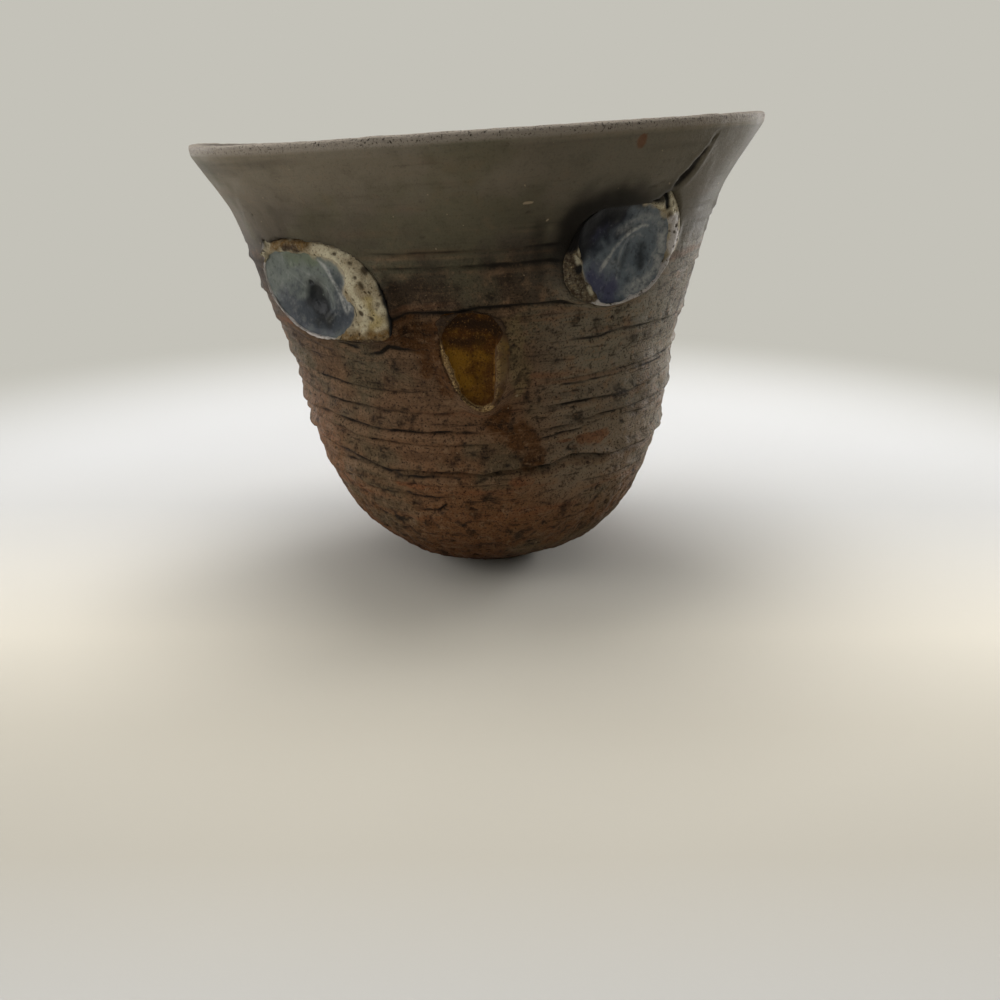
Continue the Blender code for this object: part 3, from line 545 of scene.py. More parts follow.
# The throwing lines: depth and width in mm, then marks along each line, which are
# azimuth in degrees, height in mm and strength
THROWING_LINES = (
    (0.9, 1.3, ((-180, 60.1, .6), (-120, 60.6, .6), (-80, 62.2, .7), (-62, 62.6, 1), (-48, 61.2, 1),
                (-40, 60.4, 1), (-33, 59.5, .9), (-25, 59, .8), (-20, 59, .6), (-12, 59.3, 0), (14, 59.9, 0),
                (21, 60.1, .6), (60, 60.1, .8), (100, 60.1, .6), (180, 60.1, .6))),
    (0.5, 0.8, ((-180, 58.8, 0), (19, 58.8, 0), (22, 58.8, .7), (60, 58.8, .7), (80, 58.8, 0),
                (180, 58.8, 0))),
    (0.8, 1.2, ((-180, 54.1, .6), (-100, 55.2, .6), (-67, 56.3, .8), (-49, 55.3, .8), (-40, 54.9, .8),
                (-33, 54.4, .7), (-23, 54, .6), (-12, 53.8, .7), (-4, 54.2, .3), (4, 54, 0), (14, 53.8, .2),
                (18, 53.7, .7), (30, 53.9, .8), (45, 53.5, .8), (55, 54, .7), (64, 54.6, .7),
                (100, 54.1, .6), (180, 54.1, .6))),
    (0.9, 1.3, ((-180, 48.9, .6), (-100, 49.8, .6), (-65, 50.3, .9), (-51, 51, .9), (-42, 49.9, 1),
                (-34, 49.3, 1), (-27, 48.8, .9), (-21, 49, .7), (-9, 49, .6), (-3, 48.6, .5), (8, 48, .1),
                (18, 47.8, .7), (30, 49, .7), (39, 49.2, .6), (57, 48.9, .6), (67, 48.8, .6),
                (100, 48.9, .6), (180, 48.9, .6))),
    (0.8, 1.2, ((-180, 44.6, .5), (-100, 47, .5), (-56, 47.9, .7), (-45, 47, .8), (-39, 46, .8),
                (-31, 45.8, .8), (-25, 45.3, .8), (-17, 45.4, .6), (-3, 45.4, .7), (8, 45.6, .1), (18, 46, 1),
                (26, 46.4, .9), (30.5, 47.2, .6), (37, 48.4, .2), (51, 46.9, .7), (64, 47.1, .7),
                (100, 45.5, .5), (180, 44.6, .5))),
    (1.3, 1.9, ((-180, 37, .7), (-100, 41.5, .7), (-65, 43.3, .7), (-54, 41.1, .9), (-46, 40.7, .9),
                (-38, 39.4, 1), (-29, 37.9, 1), (-20, 38.4, 1), (-14, 38.1, 1), (-7, 37.8, .6),
                (-1, 36.8, .7), (4, 38.5, 1), (14, 37.8, 1), (18.5, 37.7, 1), (25, 40.1, 1),
                (37, 37.4, 1), (50, 37.1, 1), (59.5, 37.2, 1), (100, 37, .8), (180, 37, .7))),
    (0.8, 1.3, ((-180, 38.8, 0), (-60, 38.8, 0), (-44, 38.1, .7), (-36, 37.6, .8), (-31, 36.8, .8),
                (-26, 36.2, .9), (-17, 36.5, .8), (-8, 36.1, .6), (-3, 36, 0), (180, 38.8, 0))),
    (0.8, 1.3, ((-180, 30.4, .6), (-100, 31.6, .5), (-60, 32.4, .6), (-49, 33.4, .7), (-42, 31.6, .8),
                (-34, 31.1, .8), (-26, 31.1, .7), (-21, 30.6, .8), (-16, 30.6, .5), (-8, 31.2, 0),
                (26, 31.5, 0), (34, 31.2, .5), (45, 30.6, .7), (58, 30.5, .7), (62.5, 31.6, .6),
                (100, 30.8, .5), (180, 30.4, .6))),
    (0.9, 1.2, ((-180, 69.8, .5), (-100, 71.5, .4), (-60, 72, .2), (-45.5, 69.4, .7), (-42, 68.5, .6),
                (-36, 68.4, 0), (-30, 68.4, .2), (-28, 68.5, .9), (-24.5, 69.2, 1), (-22, 70.8, 1),
                (-20, 70.3, 1), (-15, 69.4, .7), (-12, 69.3, 0), (16, 69.5, 0), (18, 69.6, .6),
                (25, 69.9, .6), (30.5, 69.4, .7), (37, 70.3, .7), (49, 70.1, .6), (59.5, 69.3, .5),
                (100, 69.8, .5), (180, 69.8, .5))),
    (1.1, 1.3, ((-180, 79, .5), (-100, 79.5, .4), (-62, 80, .2), (-24, 79, .3), (-18.5, 79, .9),
                (-6, 78.5, 1), (1, 79.3, 1), (10, 79.4, 1), (19, 79.2, 1), (21.5, 78.6, .7), (24, 78.5, .2),
                (46, 80.7, .3), (58, 81.4, .5), (67, 82.1, .5), (100, 80, .5), (180, 79, .5))),
    (0.8, 1.0, ((-180, 75.7, 0), (3, 75.6, 0), (5, 75.6, .8), (11, 75.8, .8), (13, 75.8, 0), (180, 75.7, 0))),
    (0.6, 1.0, ((-180, 92.5, .5), (-80, 92.5, .3), (-24, 92, .1), (-20, 92, .5), (16, 92, .55), (19, 92, .1),
                (50, 92.5, .2), (100, 92.5, .3), (180, 92.5, .5))),
    (0.8, 1.2, ((-180, 88, .5), (-80, 88, .3), (-26, 88.6, .1), (-20, 88.6, .7), (17, 88.6, .7),
                (20, 88.5, .1), (50, 88, .2), (100, 88, .3), (180, 88, .5))),
    (0.35, 0.9, ((-180, 96.3, .3), (-24, 96.3, 0), (-20, 96.3, 0), (9, 96.3, .3), (14, 96.3, .3),
                 (180, 96.3, .3))),
    (0.6, 0.9, ((-180, 71, 0), (-38, 71.2, 0), (-36, 71, .9), (-32, 70, .9), (-30, 69.8, 0), (180, 71, 0))),
    (0.5, 1.1, ((-180, 26.7, 0), (-28, 26.7, 0), (-25, 26.6, .8), (-17, 26.8, .9), (-14.4, 28.4, .9),
                (-13, 29.6, 0), (180, 26.7, 0))),
)

# Places on the wall, as azimuth in degrees, height in mm, half width and half height in mm
STAINS = {
    "stain": ((-14.5, 74.5, 6.5, 4.6), (-11.0, 69.0, 4.4, 5.5), (-9.0, 62.5, 2.6, 5.0), (4.0, 51.0, 4.0, 4.5),
              (10.0, 46.5, 5.5, 5.5), (13.5, 40.5, 4.0, 3.6)),
    "ash": ((62.0, 66.0, 16.0, 12.0), (48.0, 73.0, 12.0, 5.0), (70.0, 54.0, 9.0, 7.0)),
    "tan": ((7.6, 69.0, 2.6, 7.5), (9.5, 62.0, 2.6, 6.0)),
    "bare": ((29.1, 112.0, 1.0, 1.5), (9.5, 34.6, 3.6, 1.5), (31.5, 43.6, 5.5, 1.9), (22.0, 44.0, 3.6, 0.9),
             (-24.0, 33.9, 6.0, 0.9)),
    "pale": ((10.1, 101.3, 1.1, 0.35), (14.6, 97.4, 0.45, 0.45), (-43.0, 108.6, 1.6, 0.3),
             (-47.0, 113.6, 9.0, 0.35)),
    # Painted shade above the left eye and beside the right eye's dent
    "shade": ((-34.0, 99.0, 12.0, 5.0), (22.0, 98.5, 14.0, 11.0)),
    # Painted shade in the dent above the right eye, beside that eye and under the ledge above the beak
    "deep_shade": ((13.5, 90.0, 2.0, 9.0), (24.5, 98.0, 9.0, 6.0), (-1.0, 77.6, 6.5, 1.8)),
}
# Burrs and chips: azimuth in degrees, height, half width, half height and lift in mm
BURRS = (
    (-79.0, 88.6, 1.4, 1.5, 0.7), (-77.0, 81.0, 1.3, 1.6, 0.55), (72.1, 95.5, 1.6, 1.5, 0.6),
    (73.0, 90.5, 2.0, 3.2, -0.8), (71.0, 86.0, 1.5, 1.0, 0.4), (29.1, 112.2, 1.0, 1.6, -0.45),
    (-4.6, 79.9, 1.6, 0.7, 0.7), (-1.2, 80.3, 1.2, 0.7, 0.6),
)
# The drying crack above the right eye, in mm along the eye's own u and v, with widths
CRACK = ((13.9, 22.6), (13.5, 20.6), (13.0, 18.6), (12.6, 16.9), (11.6, 15.2), (10.0, 13.4))
CRACK_WIDTHS = (0.25, 0.45, 0.75, 0.9, 0.95, 0.7)
CRACK_BRANCH = ((11.6, 15.2), (8.6, 14.9), (6.2, 14.5), (1.8, 13.4))

# The lip in section: shares of its wall outwards and of its band upwards
LIP_SECTION = ((0.06, 0.26), (0.10, 0.50), (0.12, 0.72), (0.10, 0.86), (0.02, 0.955), (-0.12, 1.0),
               (-0.33, 0.995), (-0.60, 0.92), (-0.82, 0.80))
# The grain of the wall: its height in mm everywhere, what is added where the lines are and
# low down, and its size in mm
WALL_GRAINS = (
    (0.40, 0.0, 0.0, 34.0), (0.16, 0.0, 0.0, 13.0), (0.08, 0.24, 0.0, (70.0, 70.0, 4.4)),
    (0.04, 0.24, 0.0, (24.0, 24.0, 1.3)), (0.02, 0.16, 0.0, (5.0, 5.0, 1.0)), (0.02, 0.11, 0.18, 1.5),
)
# Torn pits: seed, how many, the heights in mm between which they lie, and how coarse they are
PITS = ((71, 1200, 26.0, 80.0, 0.65), (72, 40, 80.0, 112.0, 0.5), (73, 420, 3.0, 30.0, 0.9))
# How far the throwing lines climb at the left, where the spiral of the throwing shows, by
# azimuth in degrees and in mm
CLIMB_AZIMUTHS = (-180, -110, -80, -65, -50, -40, -30, -20, 180)
CLIMB_HEIGHTS = (0.0, 1.0, 2.6, 3.2, 2.2, 1.4, 0.6, 0.0, 0.0)


def round_wall(azimuth, level):
    """Points of an upright cylinder, on which noise joins up all the way round."""
    radius = MEAN_RADIUS * MM + 0.0 * level
    return np.stack((radius * np.sin(azimuth), radius * np.cos(azimuth), level + 0.0 * azimuth), axis=-1)


def cut_throwing_lines(relief, groove_shade, ledge, azimuth, height, strength):
    """Drag each throwing line into the wall, with the clay that it pushed up above and below."""
    bearing = np.degrees(azimuth)
    for index, (depth, width, marks) in enumerate(THROWING_LINES):
        turn, rise, strong = np.array(marks, dtype=float).T
        along = round_wall(azimuth, index * LINE_SHIFT)
        wander = 0.28 * clay_noise(along, 6, 11) + 0.12 * clay_noise(along, 2, 12)
        centre = (np.interp(bearing, turn, rise) + wander) * MM
        strong = np.interp(bearing, turn, strong) * np.clip(0.9 + 0.45 * clay_noise(along, 8, 13), 0, 1.2)
        wide = 0.95 + 0.3 * smooth_ramp(-5.0, -30.0, bearing)
        half = 0.5 * width * MM * wide * (0.9 + 0.35 * clay_noise(along, 7, 14))
        above = height - centre
        cut = np.where(above > 0.0, bell(above, 0.6 * half), bell(above, 1.3 * half))
        raised = bell(above - 1.5 * half, 1.2 * half)
        relief += strength * depth * MM * strong * (0.9 * raised - 1.35 * cut)
        broken = 0.85 + 0.5 * clay_noise(along, 3, 15)
        np.maximum(groove_shade, strong * broken * bell(above - 0.2 * half, 0.9 * half), out=groove_shade)
        # Painted light on the clay just below the line
        np.maximum(ledge, strong * broken * bell(above + 2.2 * half, 1.1 * half), out=ledge)


def press_pits(relief, groove_shade, azimuth, level, wall, seed, count, low, high, coarse):
    """Small torn pits and drag marks, where grit was pulled along the wall."""
    draw = np.random.default_rng(seed)
    levels = level[:, 0]
    for _ in range(count):
        turn, rise = draw.uniform(-math.pi, math.pi), draw.uniform(low, high) * MM
        length = coarse * draw.uniform(0.45, 1.7) ** 1.3 * MM
        tall = coarse * draw.uniform(0.22, 0.5) * MM
        depth = coarse * draw.uniform(0.2, 0.65) * MM
        radius = wall.outer_radius(rise)
        rows = slice(*np.searchsorted(levels, (rise - 3 * tall, rise + 3 * tall)))
        wide = 2.5 * length / radius
        columns = slice(*np.searchsorted(azimuth[0], (turn - wide, turn + wide)))
        across = (azimuth[rows, columns] - turn) * radius / length
        up = (level[rows, columns] - rise) / tall + 0.25 * across
        hollow = np.exp(-(across * across + up * up) ** 1.5)
        relief[rows, columns] -= depth * hollow
        np.maximum(groove_shade[rows, columns], 0.5 * hollow, out=groove_shade[rows, columns])


def spots(places, azimuth, height, ragged):
    """Soft-edged patches at places on the wall."""
    mask = np.zeros(np.shape(height))
    for turn, rise, half_width, half_height in places:
        across = (azimuth - math.radians(turn)) * MEAN_RADIUS / half_width
        up = (height / MM - rise) / half_height
        reach = np.hypot(across, up) + 0.45 * ragged
        np.maximum(mask, smooth_ramp(1.5, 0.3, reach), out=mask)
    return mask


def set_socket(pad, relief, masks, azimuth, height, place, seed):
    """Press the pad's socket, the dent above it and the crevice round it into the wall."""
    u, v = pad.unrolled(azimuth, height)
    near = np.hypot(u, v) < pad.half_length + PAD_SURROUND
    u, v = u[near], v[near]
    distance, share = pad.from_outline(u, v)
    rough = clay_noise(place[near], 2.2, seed)
    fine = clay_noise(place[near], 1.0, seed + 1)
    width = np.maximum(pad.sizes.brow_width * share * (1.0 + 0.14 * rough), 0.01 * MM)
    reach = np.clip(1.0 - np.maximum(distance, 0.0) / width, 0.0, 1.0)
    dent = pad.sizes.brow_depth * share * reach ** 1.15 * (1.0 + 0.16 * fine)
    proud = np.maximum(pad.face(u, v) - pad.edges["proud"] * MM, 0.0)
    proud = proud * smooth_ramp(pad.edges["skirt"] * MM, 0.0, distance)
    surface = np.maximum(relief[near] - dent, proud + 0.4 * relief[near])
    floor = np.minimum(pad.back(u, v) - SEAT_GAP, surface)
    inside = smooth_ramp(-0.25 * MM + 0.15 * MM * rough, -1.1 * MM, distance)
    relief[near] = surface * (1.0 - inside) + floor * inside
    # Painted shade in the crevice round the pad
    crevice = pad.edges["crevice"] * bell(distance, 0.6 * MM) * (1.0 + 0.4 * rough)
    masks["groove_shade"][near] = np.maximum(masks["groove_shade"][near] * (1.0 - inside), crevice)
    # Painted shade in the dent beyond the pad
    dent_shaded = pad.edges["pad_shade"] * share * smooth_ramp(0.0, 0.9, reach + 0.06 * rough)
    masks["deep_shade"][near] = np.maximum(masks["deep_shade"][near], dent_shaded)
    for mask in ("ledge", "stain", "tan"):
        masks[mask][near] *= 1.0 - inside


def open_crack(pad, relief, masks, azimuth, height, place):
    """Tear the drying crack that climbs from the right eye to the rim, and its branch."""
    u, v = pad.unrolled(azimuth, height)
    ragged = 0.45 * MM * clay_noise(place, 1.7, 61) + 0.3 * MM * clay_noise(place, 0.8, 62)
    distance, along = from_line(u, v, in_mm(CRACK))
    half = np.interp(along, np.linspace(0, 1, len(CRACK)), CRACK_WIDTHS) * MM
    gap = np.maximum(distance + ragged, 0.0)
    cut = bell(gap, half)
    relief += 0.35 * MM * bell(distance - 2.2 * half, 1.2 * half) - 1.9 * MM * cut
    branch, _ = from_line(u, v, in_mm(CRACK_BRANCH))
    fork = bell(np.maximum(branch + ragged, 0.0), 0.3 * MM)
    relief -= 0.5 * MM * fork
    # Painted shade in the crack and its branch, and in a band round the crack
    np.maximum(masks["groove_shade"], np.maximum(cut, 0.3 * fork), out=masks["groove_shade"])
    np.maximum(masks["deep_shade"], 0.25 * bell(distance, 3.0 * MM), out=masks["deep_shade"])


def outside_relief(wall, pads, azimuth, level, height):
    """How far the fired surface stands off the smooth wall, with masks for its finish."""
    place = round_wall(azimuth, level)
    level_mm, height_mm, bearing = level / MM, height / MM, np.degrees(azimuth)
    low = smooth_ramp(33, 22, level_mm)
    lined = smooth_ramp(24, 33, level_mm) * smooth_ramp(84, 66, level_mm)
    grain = wall.sizes.clay_roughness * MM
    relief = np.zeros(np.shape(level))
    for seed, (everywhere, at_lines, at_foot, size) in enumerate(WALL_GRAINS, start=1):
        relief += grain * (everywhere + at_lines * lined + at_foot * low) * clay_noise(place, size, seed)
    torn = np.abs(clay_noise(place, 5.5, 7)) + 0.5 * np.abs(clay_noise(place, 2.4, 8))
    relief += grain * low * (0.55 * torn - 0.3)
    # Painted shade in the torn hollows low down
    groove_shade = 0.5 * low * smooth_ramp(0.22, 0.02, torn)

    ledge = np.zeros(np.shape(groove_shade))
    cut_throwing_lines(relief, groove_shade, ledge, azimuth[0], height, wall.sizes.line_depth)
    for pits in PITS:
        press_pits(relief, groove_shade, azimuth, level, wall, *pits)
    for turn, rise, half_width, half_height, lift in BURRS:
        across = (azimuth - math.radians(turn)) * BURR_RADIUS / half_width
        relief += lift * MM * bell(np.hypot(across, (height_mm - rise) / half_height), 1.0)
    ragged = clay_noise(place, 3.5, 31) + 0.5 * clay_noise(place, 1.3, 32)
    masks = {name: spots(places, azimuth, height, ragged) for name, places in STAINS.items()}
    masks["stain"] *= smooth_ramp(79.2, 78.2, height_mm)
    masks["tan"] *= smooth_ramp(78.6, 77.0, height_mm)
    masks["deep_shade"] *= 0.6
    # Painted shade darkens the flare's right side, and ash settled on the wall below it
    shaded_right = smooth_ramp(-10, 28, bearing) * smooth_ramp(120, 80, bearing) * smooth_ramp(84, 94, height_mm)
    masks["shade"] = np.maximum(0.55 * masks["shade"], shaded_right)
    ashy = smooth_ramp(4, 26, bearing) * smooth_ramp(150, 100, bearing) * smooth_ramp(14, 36, height_mm)
    masks["ash"] = np.maximum(masks["ash"], 0.54 * ashy)
    groove_shade *= 1.0 - 0.7 * masks["stain"]
    masks["groove_shade"], masks["ledge"] = groove_shade, ledge
    open_crack(pads[1], relief, masks, azimuth, height, place)
    for index, pad in enumerate(pads):
        set_socket(pad, relief, masks, azimuth, height, place, 41 + index)
    return relief, masks


def pushed_in(pads, wall, azimuth, height):
    """How far the inside of the wall swells behind the sockets."""
    swell = np.zeros(np.shape(azimuth))
    for pad in pads:
        needed = pad.socket_depth() + CLAY_BEHIND_SOCKET - float(wall.thickness(pad.sizes.height))
        spread = np.hypot(*pad.unrolled(azimuth, height)) / pad.half_length
        swell = np.maximum(swell, max(needed, 0.0) * smooth_ramp(SWELL_REACH, SWELL_CORE, spread))
    return swell


def column_density(angle):
    """Columns crowd at the face, and at the back where the hanging hole is."""
    bearing = np.abs(np.degrees(angle))
    front = 1.15 - 0.25 * smooth_ramp(54, 66, bearing)
    return front - 0.48 * smooth_ramp(96, 116, bearing) + 0.9 * smooth_ramp(164, 173, bearing)


def row_density(wall, height):
    """Rows crowd where the throwing lines are, measured along the wall's slope."""
    along = 1.0 / np.cos(wall.slope(height))
    mm = height / MM
    return along * (1.5 + 0.5 * smooth_ramp(24, 32, mm) - 0.35 * smooth_ramp(66, 80, mm)
                    - 0.4 * smooth_ramp(98, 104, mm))


def inner_levels(wall, hole_level, hole_step):
    """Heights of the rows inside, from under the lip to the floor, even across the hole."""
    start, end = wall.rim - UNDER_RIM, wall.sizes.floor + FLOOR_CORNER
    above = np.linspace(start, hole_level + (HOLE_ROWS + 1) * hole_step, ROWS_ABOVE_HOLE)
    across = hole_level + hole_step * np.arange(HOLE_ROWS, -HOLE_ROWS - 1, -1)
    below = np.linspace(hole_level - (HOLE_ROWS + 1.5) * hole_step, end, ROWS_BELOW_HOLE)
    return np.concatenate((above, across, below))


class PotSkin:
    """The rows of points of the whole pot: foot, outside, lip, inside and floor."""

    def __init__(self, wall, pads):
        self.wall, self.pads = wall, pads
        self.azimuth = spaced(-math.pi, math.pi, WALL_COLUMNS + 1, column_density)[:-1]
        self.level = spaced(0.0, wall.lip, WALL_ROWS, partial(row_density, wall))
        sizes = wall.sizes
        hole_level = wall.rim - sizes.hole_below_rim
        self.hole_middle = wall.set_down(0.0, sizes.back_flat, hole_level)
        self.outer_hole_row = int(np.abs(self.level - hole_level).argmin())
        self.hole_step = self.level[self.outer_hole_row + 1] - self.level[self.outer_hole_row]

        outside = self.throw_outside()
        lip = self.turn_lip()
        inside = self.throw_inside(inner_levels(wall, hole_level, self.hole_step))
        self.inner_hole_row = WALL_ROWS + len(LIP_SECTION) + ROWS_ABOVE_HOLE + HOLE_ROWS
        radius, height, depth, relief, level = (np.concatenate(parts) for parts in zip(outside, lip, inside))

        out_radius, out_height = np.gradient(height, axis=0), -np.gradient(radius, axis=0)
        steep = np.hypot(out_radius, out_height)
        radius = radius + relief * out_radius / steep
        height = height + relief * out_height / steep
        y = -radius * np.cos(self.azimuth)
        pressed_y = wall.paddled(y, depth)
        pressed = smooth_ramp(0.5 * MM, 6 * MM, y - pressed_y)
        board = round_wall(self.azimuth[None, :], level)
        board = 0.14 + 0.10 * clay_noise(board, 9, 21) + 0.07 * clay_noise(board, 2.0, 22)
        pressed_y = pressed_y - pressed * (board * MM - 0.45 * np.minimum(relief, 0.0))
        self.points = wall.set_down(radius * np.sin(self.azimuth), pressed_y, height)
        self.points[0, :, 2] = 0.0
        self.masks = {name: np.concatenate((mask, np.zeros((len(radius) - WALL_ROWS, WALL_COLUMNS))))
                      for name, mask in self.masks.items()}
        self.masks["level"] = level
        # Painted shade on the inside of the pot
        self.masks["inside_shade"] = np.zeros_like(level)
        self.masks["inside_shade"][WALL_ROWS + len(LIP_SECTION) - 2:] = 1.0
        self.close_foot_and_floor()

    def throw_outside(self):
        """Rows of the outside, warped so that they run along the throwing lines."""
        wall, tan_lean = self.wall, math.tan(self.wall.sizes.lean)
        azimuth = np.broadcast_to(self.azimuth, (WALL_ROWS, WALL_COLUMNS))
        level = np.broadcast_to(self.level[:, None], azimuth.shape)
        climb = np.interp(np.degrees(self.azimuth), CLIMB_AZIMUTHS, CLIMB_HEIGHTS) * MM
        height = level + climb * smooth_ramp(26 * MM, 38 * MM, level) * smooth_ramp(76 * MM, 62 * MM, level)
        # A few rounds find the height at which the leaning wall meets the table
        table = np.zeros(WALL_COLUMNS)
        for _ in range(6):
            table = -wall.outer_radius(table) * np.sin(self.azimuth) * tan_lean
        height = height + table * smooth_ramp(6 * MM, 0.0, level)
        relief, self.masks = outside_relief(wall, self.pads, azimuth, level, height)
        relief = relief * smooth_ramp(0.0, 2.5 * MM, level)
        return wall.outer_radius(height), height, np.zeros(azimuth.shape), relief, level.copy()

    def turn_lip(self):
        """Rows over the lip: a speckled, slightly uneven band with a rubbed crest."""
        wall, sizes = self.wall, self.wall.sizes
        outwards, upwards = np.array(LIP_SECTION).T[:, :, None] + np.zeros(WALL_COLUMNS)
        radius = wall.sizes.lip_radius + outwards * sizes.lip_wall
        height = wall.lip + upwards * sizes.lip_band
        place = round_wall(self.azimuth[None, :], height)
        wave = 0.25 * clay_noise(place, 28, 23) * upwards
        relief = (0.10 * clay_noise(place, 3.0, 24) + 0.07 * clay_noise(place, 1.3, 25)) * MM
        depth = np.maximum(sizes.lip_radius - radius, 0.0)
        return radius, height + wave * MM, depth, relief, height.copy()

    def throw_inside(self, levels):
        """Rows of the inside, with the soft ridges that the fingers left."""
        wall = self.wall
        outside = np.linspace(wall.lip - 0.8 * MM, 0.8 * MM, 400)
        slope, thickness = wall.slope(outside), wall.thickness(outside)
        raised = outside + thickness * np.sin(slope)
        radii = wall.outer_radius(outside) - thickness * np.cos(slope)
        height = np.broadcast_to(levels[:, None], (len(levels), WALL_COLUMNS))
        radius = np.interp(height, raised[::-1], radii[::-1])
        depth = np.interp(height, raised[::-1], thickness[::-1])
        azimuth = np.broadcast_to(self.azimuth, height.shape)
        radius = radius - pushed_in(self.pads, wall, azimuth, height)
        place = round_wall(azimuth, height + INSIDE_SHIFT)
        relief = 0.28 * clay_noise(place, (80, 80, 7), 26) + 0.10 * clay_noise(place, 6, 27)
        return radius, height, depth, relief * MM, height.copy()

    def close_foot_and_floor(self):
        """Rows of the flat foot before the others and of the floor after them."""
        foot_middle, floor_middle = self.points[0].mean(axis=0), self.points[-1].mean(axis=0)
        floor_middle = floor_middle - (0.0, 0.0, FLOOR_CORNER)
        foot = [between(foot_middle, self.points[0], share) for share in FOOT_SHARES]
        floor = []
        for share in FLOOR_SHARES:
            row = between(floor_middle, self.points[-1], share)
            row[:, 2] = floor_middle[2] + (self.points[-1, :, 2] - floor_middle[2]) * max(share - 0.5, 0.0)
            floor.append(row)
        self.start, self.end = foot_middle, floor_middle
        self.points = np.concatenate((foot, self.points, floor))
        self.first_row = len(foot)
        for name, mask in self.masks.items():
            before = np.repeat(mask[:1], len(foot), axis=0)
            self.masks[name] = np.concatenate((before, mask, np.repeat(mask[-1:], len(floor), axis=0)))

    def draw_round_hole(self, points, middle_row, up):
        """Draw the mesh round the hole to circles, and give the rows and columns of its edge."""
        half = WALL_COLUMNS // 2
        block = points[middle_row - DRAWN_ROWS:middle_row + DRAWN_ROWS + 1,
                       half - DRAWN_COLUMNS:half + DRAWN_COLUMNS + 1]
        p, q = np.meshgrid(np.arange(-DRAWN_COLUMNS, DRAWN_COLUMNS + 1) / HOLE_COLUMNS,
                           up * np.arange(-DRAWN_ROWS, DRAWN_ROWS + 1) / HOLE_ROWS)
        square = np.maximum(np.abs(p), np.abs(q))
        turn = 0.25 * math.pi * np.where(
            np.abs(p) >= np.abs(q), q / np.where(p == 0, 1.0, p) + 4.0 * (p < 0),
            2.0 * np.sign(q) - p / np.where(q == 0, 1.0, q))
        mouth = (self.wall.sizes.hole_radius + MOUTH_SOFTNESS) * square
        # The rows near the rim are wider apart, so their true height counts as well
        risen = np.abs(block[..., 2] - self.hole_middle[2]) / (HOLE_ROWS * self.hole_step)
        fade = smooth_ramp(1.0, 2.5, np.maximum(square, risen))
        # The columns run to -X at the back, so the circle is drawn the same way
        for axis, offset in ((0, -mouth * np.cos(turn)), (2, mouth * np.sin(turn))):
            block[..., axis] = between(self.hole_middle[axis] + offset, block[..., axis], fade)

        low, high = middle_row - up * HOLE_ROWS, middle_row + up * HOLE_ROWS
        left, right = half - HOLE_COLUMNS, half + HOLE_COLUMNS
        edge = [(low, column) for column in range(left, right)]
        edge += [(row, right) for row in range(low, high, up)]
        edge += [(high, column) for column in range(right, left, -1)]
        edge += [(row, left) for row in range(high, low, -up)]
        return tuple(np.array(edge).T)

    def line_hole(self, outer, inner):
        """Rings of points of the bore, from the edge of its outer mouth to that of its inner one."""
        centre = self.hole_middle[[0, 2]]
        heading = outer[:, (0, 2)] - centre
        heading /= np.hypot(*heading.T)[:, None]
        rings = []
        for share, inset, widen in BORE_RINGS:
            ring = between(outer, inner, share)
            ring[:, 1] -= inset * MM
            wobble = 0.08 * clay_noise(ring, 2.5, 28)
            wide = self.wall.sizes.hole_radius + (widen + wobble) * MM
            ring[:, (0, 2)] = centre + heading * wide[:, None]
            rings.append(ring)
        return rings

    def cut_hanging_hole(self):
        """Open the back wall, line the hole and drop the points that were inside it.

        Gives every point, every face and the masks.
        """
        half = WALL_COLUMNS // 2
        points = np.roll(self.points, half, axis=1)
        rows, columns = points.shape[:2]
        index = np.arange(rows * columns).reshape(rows, columns)
        keep = np.ones((rows - 1, columns), dtype=bool)
        loops = []
        for row, up in ((self.outer_hole_row, 1), (self.inner_hole_row, -1)):
            middle_row = self.first_row + row
            loops.append(index[self.draw_round_hole(points, middle_row, up)])
            keep[middle_row - HOLE_ROWS:middle_row + HOLE_ROWS,
                 half - HOLE_COLUMNS:half + HOLE_COLUMNS] = False

        flat = points.reshape(-1, 3)
        rings = self.line_hole(flat[loops[0]], flat[loops[1]])
        points = np.concatenate((flat, *rings, [self.start, self.end]))
        lining = np.arange(len(flat), len(points) - 2).reshape(len(rings), -1)
        quads = np.concatenate((wrapped_faces(index)[keep.ravel()],
                                wrapped_faces(np.vstack((loops[0], lining, loops[1])))))
        fans = np.array(fan_faces(len(points) - 2, index[0], len(points) - 1, index[-1]))
        used = np.zeros(len(points), dtype=bool)
        used[quads] = used[fans] = True
        number = np.cumsum(used) - 1
        # The hole's bore gets painted shade
        lined = {"groove_shade": 0.35, "inside_shade": 0.6, "level": self.wall.rim - self.wall.sizes.hole_below_rim}
        masks = {}
        for name, mask in self.masks.items():
            added = np.full(len(points) - len(flat), lined.get(name, 0.0))
            masks[name] = np.concatenate((np.roll(mask, half, axis=1).ravel(), added))[used]
        return points[used], number[quads].tolist() + number[fans].tolist(), masks


def wrapped_faces(index):
    """Four-sided faces between rows of point numbers that close on themselves."""
    ahead = np.roll(index, -1, axis=1)
    quads = np.stack((index[:-1], ahead[:-1], ahead[1:], index[1:]), axis=-1)
    return quads.reshape(-1, 4)


def fan_faces(start, first_row, end, last_row):
    """Triangles from a start point to the first row and from the last row to an end point."""
    fans = [(int(start), int(b), int(a)) for a, b in zip(first_row, np.roll(first_row, -1))]
    return fans + [(int(a), int(b), int(end)) for a, b in zip(last_row, np.roll(last_row, -1))]


def closed_faces(rows):
    """Points and faces of a skin of rows, closed by the middle of its first and last row."""
    count, columns = rows.shape[:2]
    index = np.arange(count * columns).reshape(count, columns)
    points = np.concatenate((rows.reshape(-1, 3), [rows[0].mean(axis=0), rows[-1].mean(axis=0)]))
    fans = fan_faces(count * columns, index[0], count * columns + 1, index[-1])
    return points, wrapped_faces(index).tolist() + fans


